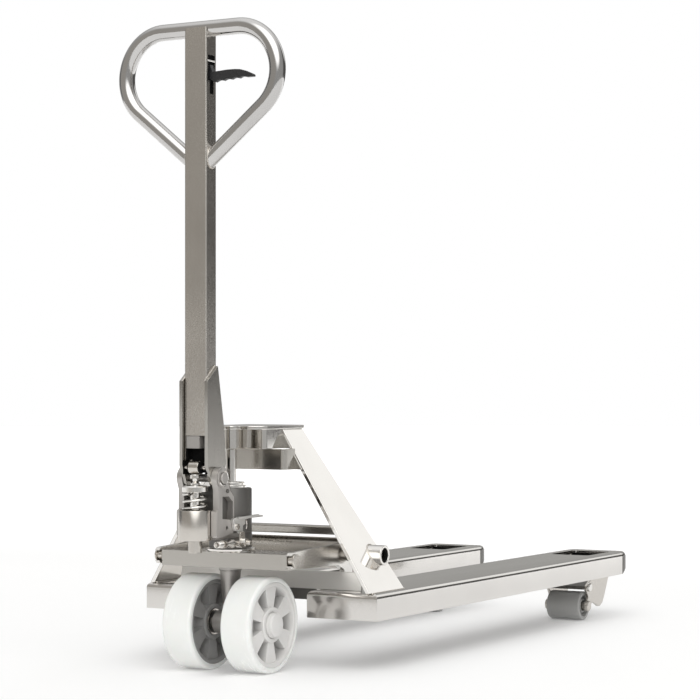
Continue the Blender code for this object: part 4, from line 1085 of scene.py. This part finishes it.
# ---------------------------------------------------------------- tiller
def build_tiller_tube():
    front = TILLER_REAR + TILLER_DEPTH
    outer = rounded_box((TILLER_REAR, front), (-TILLER_HALF, TILLER_HALF), 0.003)
    tube = prism(outer, "Z", TILLER_FOOT, TILLER_REAR_TOP)
    wall = TILLER_WALL
    hollow = box((TILLER_REAR + wall, front - wall),
                 (-TILLER_HALF + wall, TILLER_HALF - wall), (0.35, 1.25))
    saddle = rod("Y", (LOOP_X, LOOP_TOP), LOOP_RADIUS + GAP, -0.04, 0.04, 64)
    crown = box((TILLER_REAR + wall, 0.0), (-0.04, 0.04), (TILLER_TOP + 0.01, 1.25))
    window = box((TILLER_REAR - 0.01, TILLER_REAR + wall + 0.001),
                 (-TILLER_HALF + wall, TILLER_HALF - wall), (0.35, TILLER_WINDOW))
    wide = box((-0.1135, -0.0905), (-0.04, -0.015), (1.093, 1.1405))
    narrow = box((-0.1075, -0.0945), (-0.04, -0.015), (1.069, 1.094))
    tube = cut(tube, hollow, saddle, crown, window, wide, narrow)
    piece("tiller_tube", tube, "brushed_z", edge=0.0004, steps=2)
    # painted shade: a black sheet inside the tube stands for the shade seen through the lever
    # slot
    lining = box((TILLER_REAR + 0.0035, front - 0.0035), (-0.0205, -0.0195), (1.06, 1.15))
    piece("slot_lining", lining, "seal", "tiller")
    # painted shade: a black sheet behind the pressure roller stands for the shade inside the
    # tiller's foot
    back = box((-0.099, -0.098), (-0.0205, 0.0205), (0.3745, 0.456))
    piece("window_lining", back, "seal", "tiller")
    plug = box((TILLER_REAR + 0.0031, front - 0.0031), (-0.0209, 0.0209), (1.17, 1.1738))
    piece("tube_plug", plug, "brushed_y", "tiller", 0.0004)


def build_loop():
    """Heart-shaped grip: one round bar from side to side of the tiller."""
    centre_y = LOOP_HALF - LOOP_BEND
    centre_z = LOOP_TOP - LOOP_BEND
    start = Vector((centre_y, centre_z))
    leave = Vector((sin(LOOP_SLOPE), -cos(LOOP_SLOPE))) * LOOP_BEND + start
    along = Vector((cos(LOOP_SLOPE), sin(LOOP_SLOPE)))
    foot = leave - along * ((leave.x - 0.012) / along.x)
    half = [tuple(Vector(foot).lerp(leave, i / 6.0)) for i in range(6)]
    half += arc((centre_y, centre_z), LOOP_BEND, -90.0 + degrees(LOOP_SLOPE), 90, 48)
    half += [(centre_y * (1.0 - i / 3.0), LOOP_TOP) for i in (1, 2)]
    whole = half + [(0.0, LOOP_TOP)] + [(-y, z) for y, z in reversed(half)]
    bar = sweep([(LOOP_X, y, z) for y, z in whole], LOOP_RADIUS, 64)
    room = box((-0.16, -0.05), (-TILLER_HALF - GAP, TILLER_HALF + GAP),
               (0.85, TILLER_TOP - 0.001))
    piece("handle_loop", cut(bar, room), "grip")

    beads = []
    slant = 1.0 / cos(LOOP_SLOPE)
    edge = TILLER_HALF + 0.0006
    level = leave.y - (leave.x - edge) * tan(LOOP_SLOPE)
    for side in (-1.0, 1.0):
        around = hoop(LOOP_X, side * edge, level, 0.0152, 40, slant)
        beads.append(bead(around, 0.0011))
    piece("loop_weld", together(*beads), "weld", "tiller")


def build_tiller_parts():
    outline = mm((-125.5, 543), (-125.5, 388))
    outline += arc(PIVOT, 0.0185, 190, 350, 28)
    outline += mm((-63.5, 390), (-63.5, 394.5), (-70.5, 462.1), (-90.5, 571))
    ear = prism(outline, "Y", -EAR_OUTER, -EAR_INNER)
    ear = cut(ear, rod("Y", PIVOT, PIVOT_RADIUS + GAP, -0.05, -0.01, 48))
    pair("tiller_ear", ear, "ear", edge=0.001)
    seam = mm((-90.5, -24.5, 571.5), (-125, -24.5, 543.5))
    pair("ear_weld", bead(seam, 0.0013), "weld", "tiller")

    block = box((TILLER_REAR + 0.0008, -0.0925), (-0.0085, 0.0205), (0.4195, 0.4425))
    piece("tiller_block", block, "block", edge=0.001)
    roller = mm((4.3, -10.5), (11.3, -10.5), (11.9, -9.9), (11.9, 9.9), (11.3, 10.5), (4.3, 10.5))
    piece("pressure_roller", turn(roller, *PRESS_ROLLER, 48), "turned")
    # painted shade: black rings at the roller's ends stand for the shade on its end faces
    ends = ring("Y", PRESS_ROLLER, 0.0042, 0.0112, -0.0125, -0.0107, 48)
    pair("roller_end", ends, "seal", "tiller")
    # painted shade: black walls round the roller stand for the shade between the ears
    low_wall = box((-0.1235, -0.0985), (-0.0242, -0.0238), (0.372, 0.3975))
    high_wall = box((-0.1155, -0.0985), (-0.0209, -0.0205), (0.3985, 0.456))
    pair("pocket_lining", together(low_wall, high_wall), "seal", "tiller")
    pin = rod("Y", PRESS_ROLLER, 0.004, -0.024, 0.024, 32)
    piece("roller_pin", pin, "turned", edge=0.0005)
    pin = rod("X", LEVER, 0.003, -0.1157, -0.0883, 32)
    piece("lever_pin", pin, "turned", edge=0.0004)
    stop = rod("X", (-0.0225, 1.1296), 0.002, -0.1145, -0.0895, 24)
    piece("slot_pin", stop, "polished", "tiller", 0.0004)


def build_lever():
    top = mm((-30, 1109), (-60, 1110.8), (-76, 1110.8), (-88, 1109.8), (-98, 1107), (-105, 1104),
             (-111, 1101.4), (-117, 1098.5))
    grip = []
    for i in range(4):
        start = -0.102 + 0.0165 * i
        base = 1.0945 - 0.0011 * i
        for k in range(6):
            share = k / 6.0
            grip.append((start + 0.0165 * share,
                         base - 0.0011 * share + 0.0022 * sin(pi * share)))
    hub = arc(LEVER, 0.009, -90, 90, 18)
    outline = [(-0.117, 1.0948)] + grip + mm((-35, 1089.5), (-24.5, 1094.5))
    outline += [(-0.01, 1.0995)] + hub + mm((-10, 1117.5), (-24.5, 1122.5))
    outline += top
    blade = prism(outline, "X", LEVER_X[0], LEVER_X[1])
    bore = rod("X", LEVER, 0.0033, -0.13, -0.08, 32)
    piece("control_lever", cut(blade, bore), "plastic", edge=0.0012)

    links = []
    ball = mm((0, -2.1), (1.4, -1.8), (2.4, -0.8), (2.6, 0), (2.4, 0.8), (1.4, 1.8), (0, 2.1))
    for i in range(9):
        height = 0.4045 + 0.005 * i
        links.append(lathe([(r, height + z) for r, z in ball], "Z", (*CHAIN, 0.0), 20))
    links.append(rod("Z", CHAIN, 0.0009, 0.402, 1.0945, 12))
    piece("release_chain", together(*links), "polished")


# ---------------------------------------------------------------- light
def bearing(azimuth, elevation):
    a, e = radians(azimuth), radians(elevation)
    return Vector((cos(e) * cos(a), cos(e) * sin(a), sin(e)))


# azimuth, elevation, inner angle, outer angle, brightness: parts of the studio wall
PANELS = [
    (0.0, 90.0, 15.0, 62.0, (1.05, 1.05, 1.05)),
    (150.0, 6.0, 25.0, 52.0, (0.42, 0.402, 0.375)),
    (-30.0, 4.0, 22.0, 42.0, (0.115, 0.112, 0.108)),
    (30.0, 4.0, 12.0, 26.0, (0.38, 0.375, 0.36)),
    (95.0, 8.0, 6.0, 16.0, (0.15, 0.15, 0.15)),
    (-15.0, 27.0, 9.0, 16.0, (1.12, 1.12, 1.11)),
    (212.0, 44.0, 22.0, 42.0, (2.2, 2.2, 2.18)),
]


def build_world():
    world = bpy.data.worlds.new("studio")
    bpy.context.scene.world = world
    world.use_nodes = True
    s = Nodes(world.node_tree)
    s.tree.nodes.clear()
    coords = s.add("ShaderNodeTexCoord").outputs["Generated"]
    colour = (0.42, 0.42, 0.415, 1.0)
    for azimuth, elevation, inner, outer, level in PANELS:
        dot = s.add("ShaderNodeVectorMath", operation="DOT_PRODUCT")
        s.plug(coords, dot.inputs[0])
        s.plug(bearing(azimuth, elevation), dot.inputs[1])
        fade = s.add("ShaderNodeMapRange", interpolation_type="SMOOTHSTEP")
        s.fill(fade, Value=dot.outputs["Value"], From_Min=cos(radians(outer)),
               From_Max=cos(radians(inner)))
        colour = s.mix(fade.outputs["Result"], colour, (*level, 1.0))
    seen = s.add("ShaderNodeLightPath").outputs["Is Camera Ray"]
    back = s.add("ShaderNodeBackground")
    s.fill(back, Color=s.mix(seen, colour, (1.0, 1.0, 1.0, 1.0)))
    s.fill(s.add("ShaderNodeOutputWorld"), Surface=back.outputs[0])


def build_stage():
    floor = bmesh.new()
    bmesh.ops.create_circle(floor, cap_ends=True, segments=96, radius=14.0)
    mesh = bpy.data.meshes.new("floor")
    floor.to_mesh(mesh)
    floor.free()
    obj = bpy.data.objects.new("floor", mesh)
    obj.location = (8.0, 4.5, -0.0005)
    bpy.context.scene.collection.objects.link(obj)
    s = Shader("floor_paint")
    tone = s.mix(s.noise(1.5, 3.0), (0.86, 0.86, 0.86, 1.0), (0.9, 0.9, 0.9, 1.0))
    spread = s.add("ShaderNodeSeparateXYZ")
    s.plug(s.coords, spread.inputs[0])
    # painted light: the floor glows by emission, 0.13 near the truck rising to 0.55 further off,
    # which lightens its shadows and blends the far floor into the white backdrop
    painted_floor_glow = s.remap(spread.outputs["X"], 0.13, 0.55, -6.5, -2.0)
    mesh.materials.append(s.finish(Base_Color=tone, Roughness=0.75,
                                   Emission_Color=(1.0, 1.0, 1.0, 1.0), Emission_Strength=painted_floor_glow))


def build_camera():
    lens = bpy.data.cameras.new("camera")
    lens.sensor_width = 36.0
    lens.lens = 112.75
    lens.shift_y = 0.0481
    obj = bpy.data.objects.new("camera", lens)
    obj.location = (-4.0502, -2.2335, 0.5383)
    obj.rotation_euler = (radians(90.0), 0.0, radians(-60.322))
    bpy.context.scene.collection.objects.link(obj)
    bpy.context.scene.camera = obj


for build in (build_forks, build_legs, build_head, build_braces, build_rocker, build_push_rods,
              build_rollers, build_traverse, build_pump_casting, build_cylinders,
              build_pump_details, build_plunger, build_wheels, build_tiller_tube, build_loop,
              build_tiller_parts, build_lever, build_world, build_stage, build_camera):
    build()
bpy.context.scene.view_settings.view_transform = "Standard"
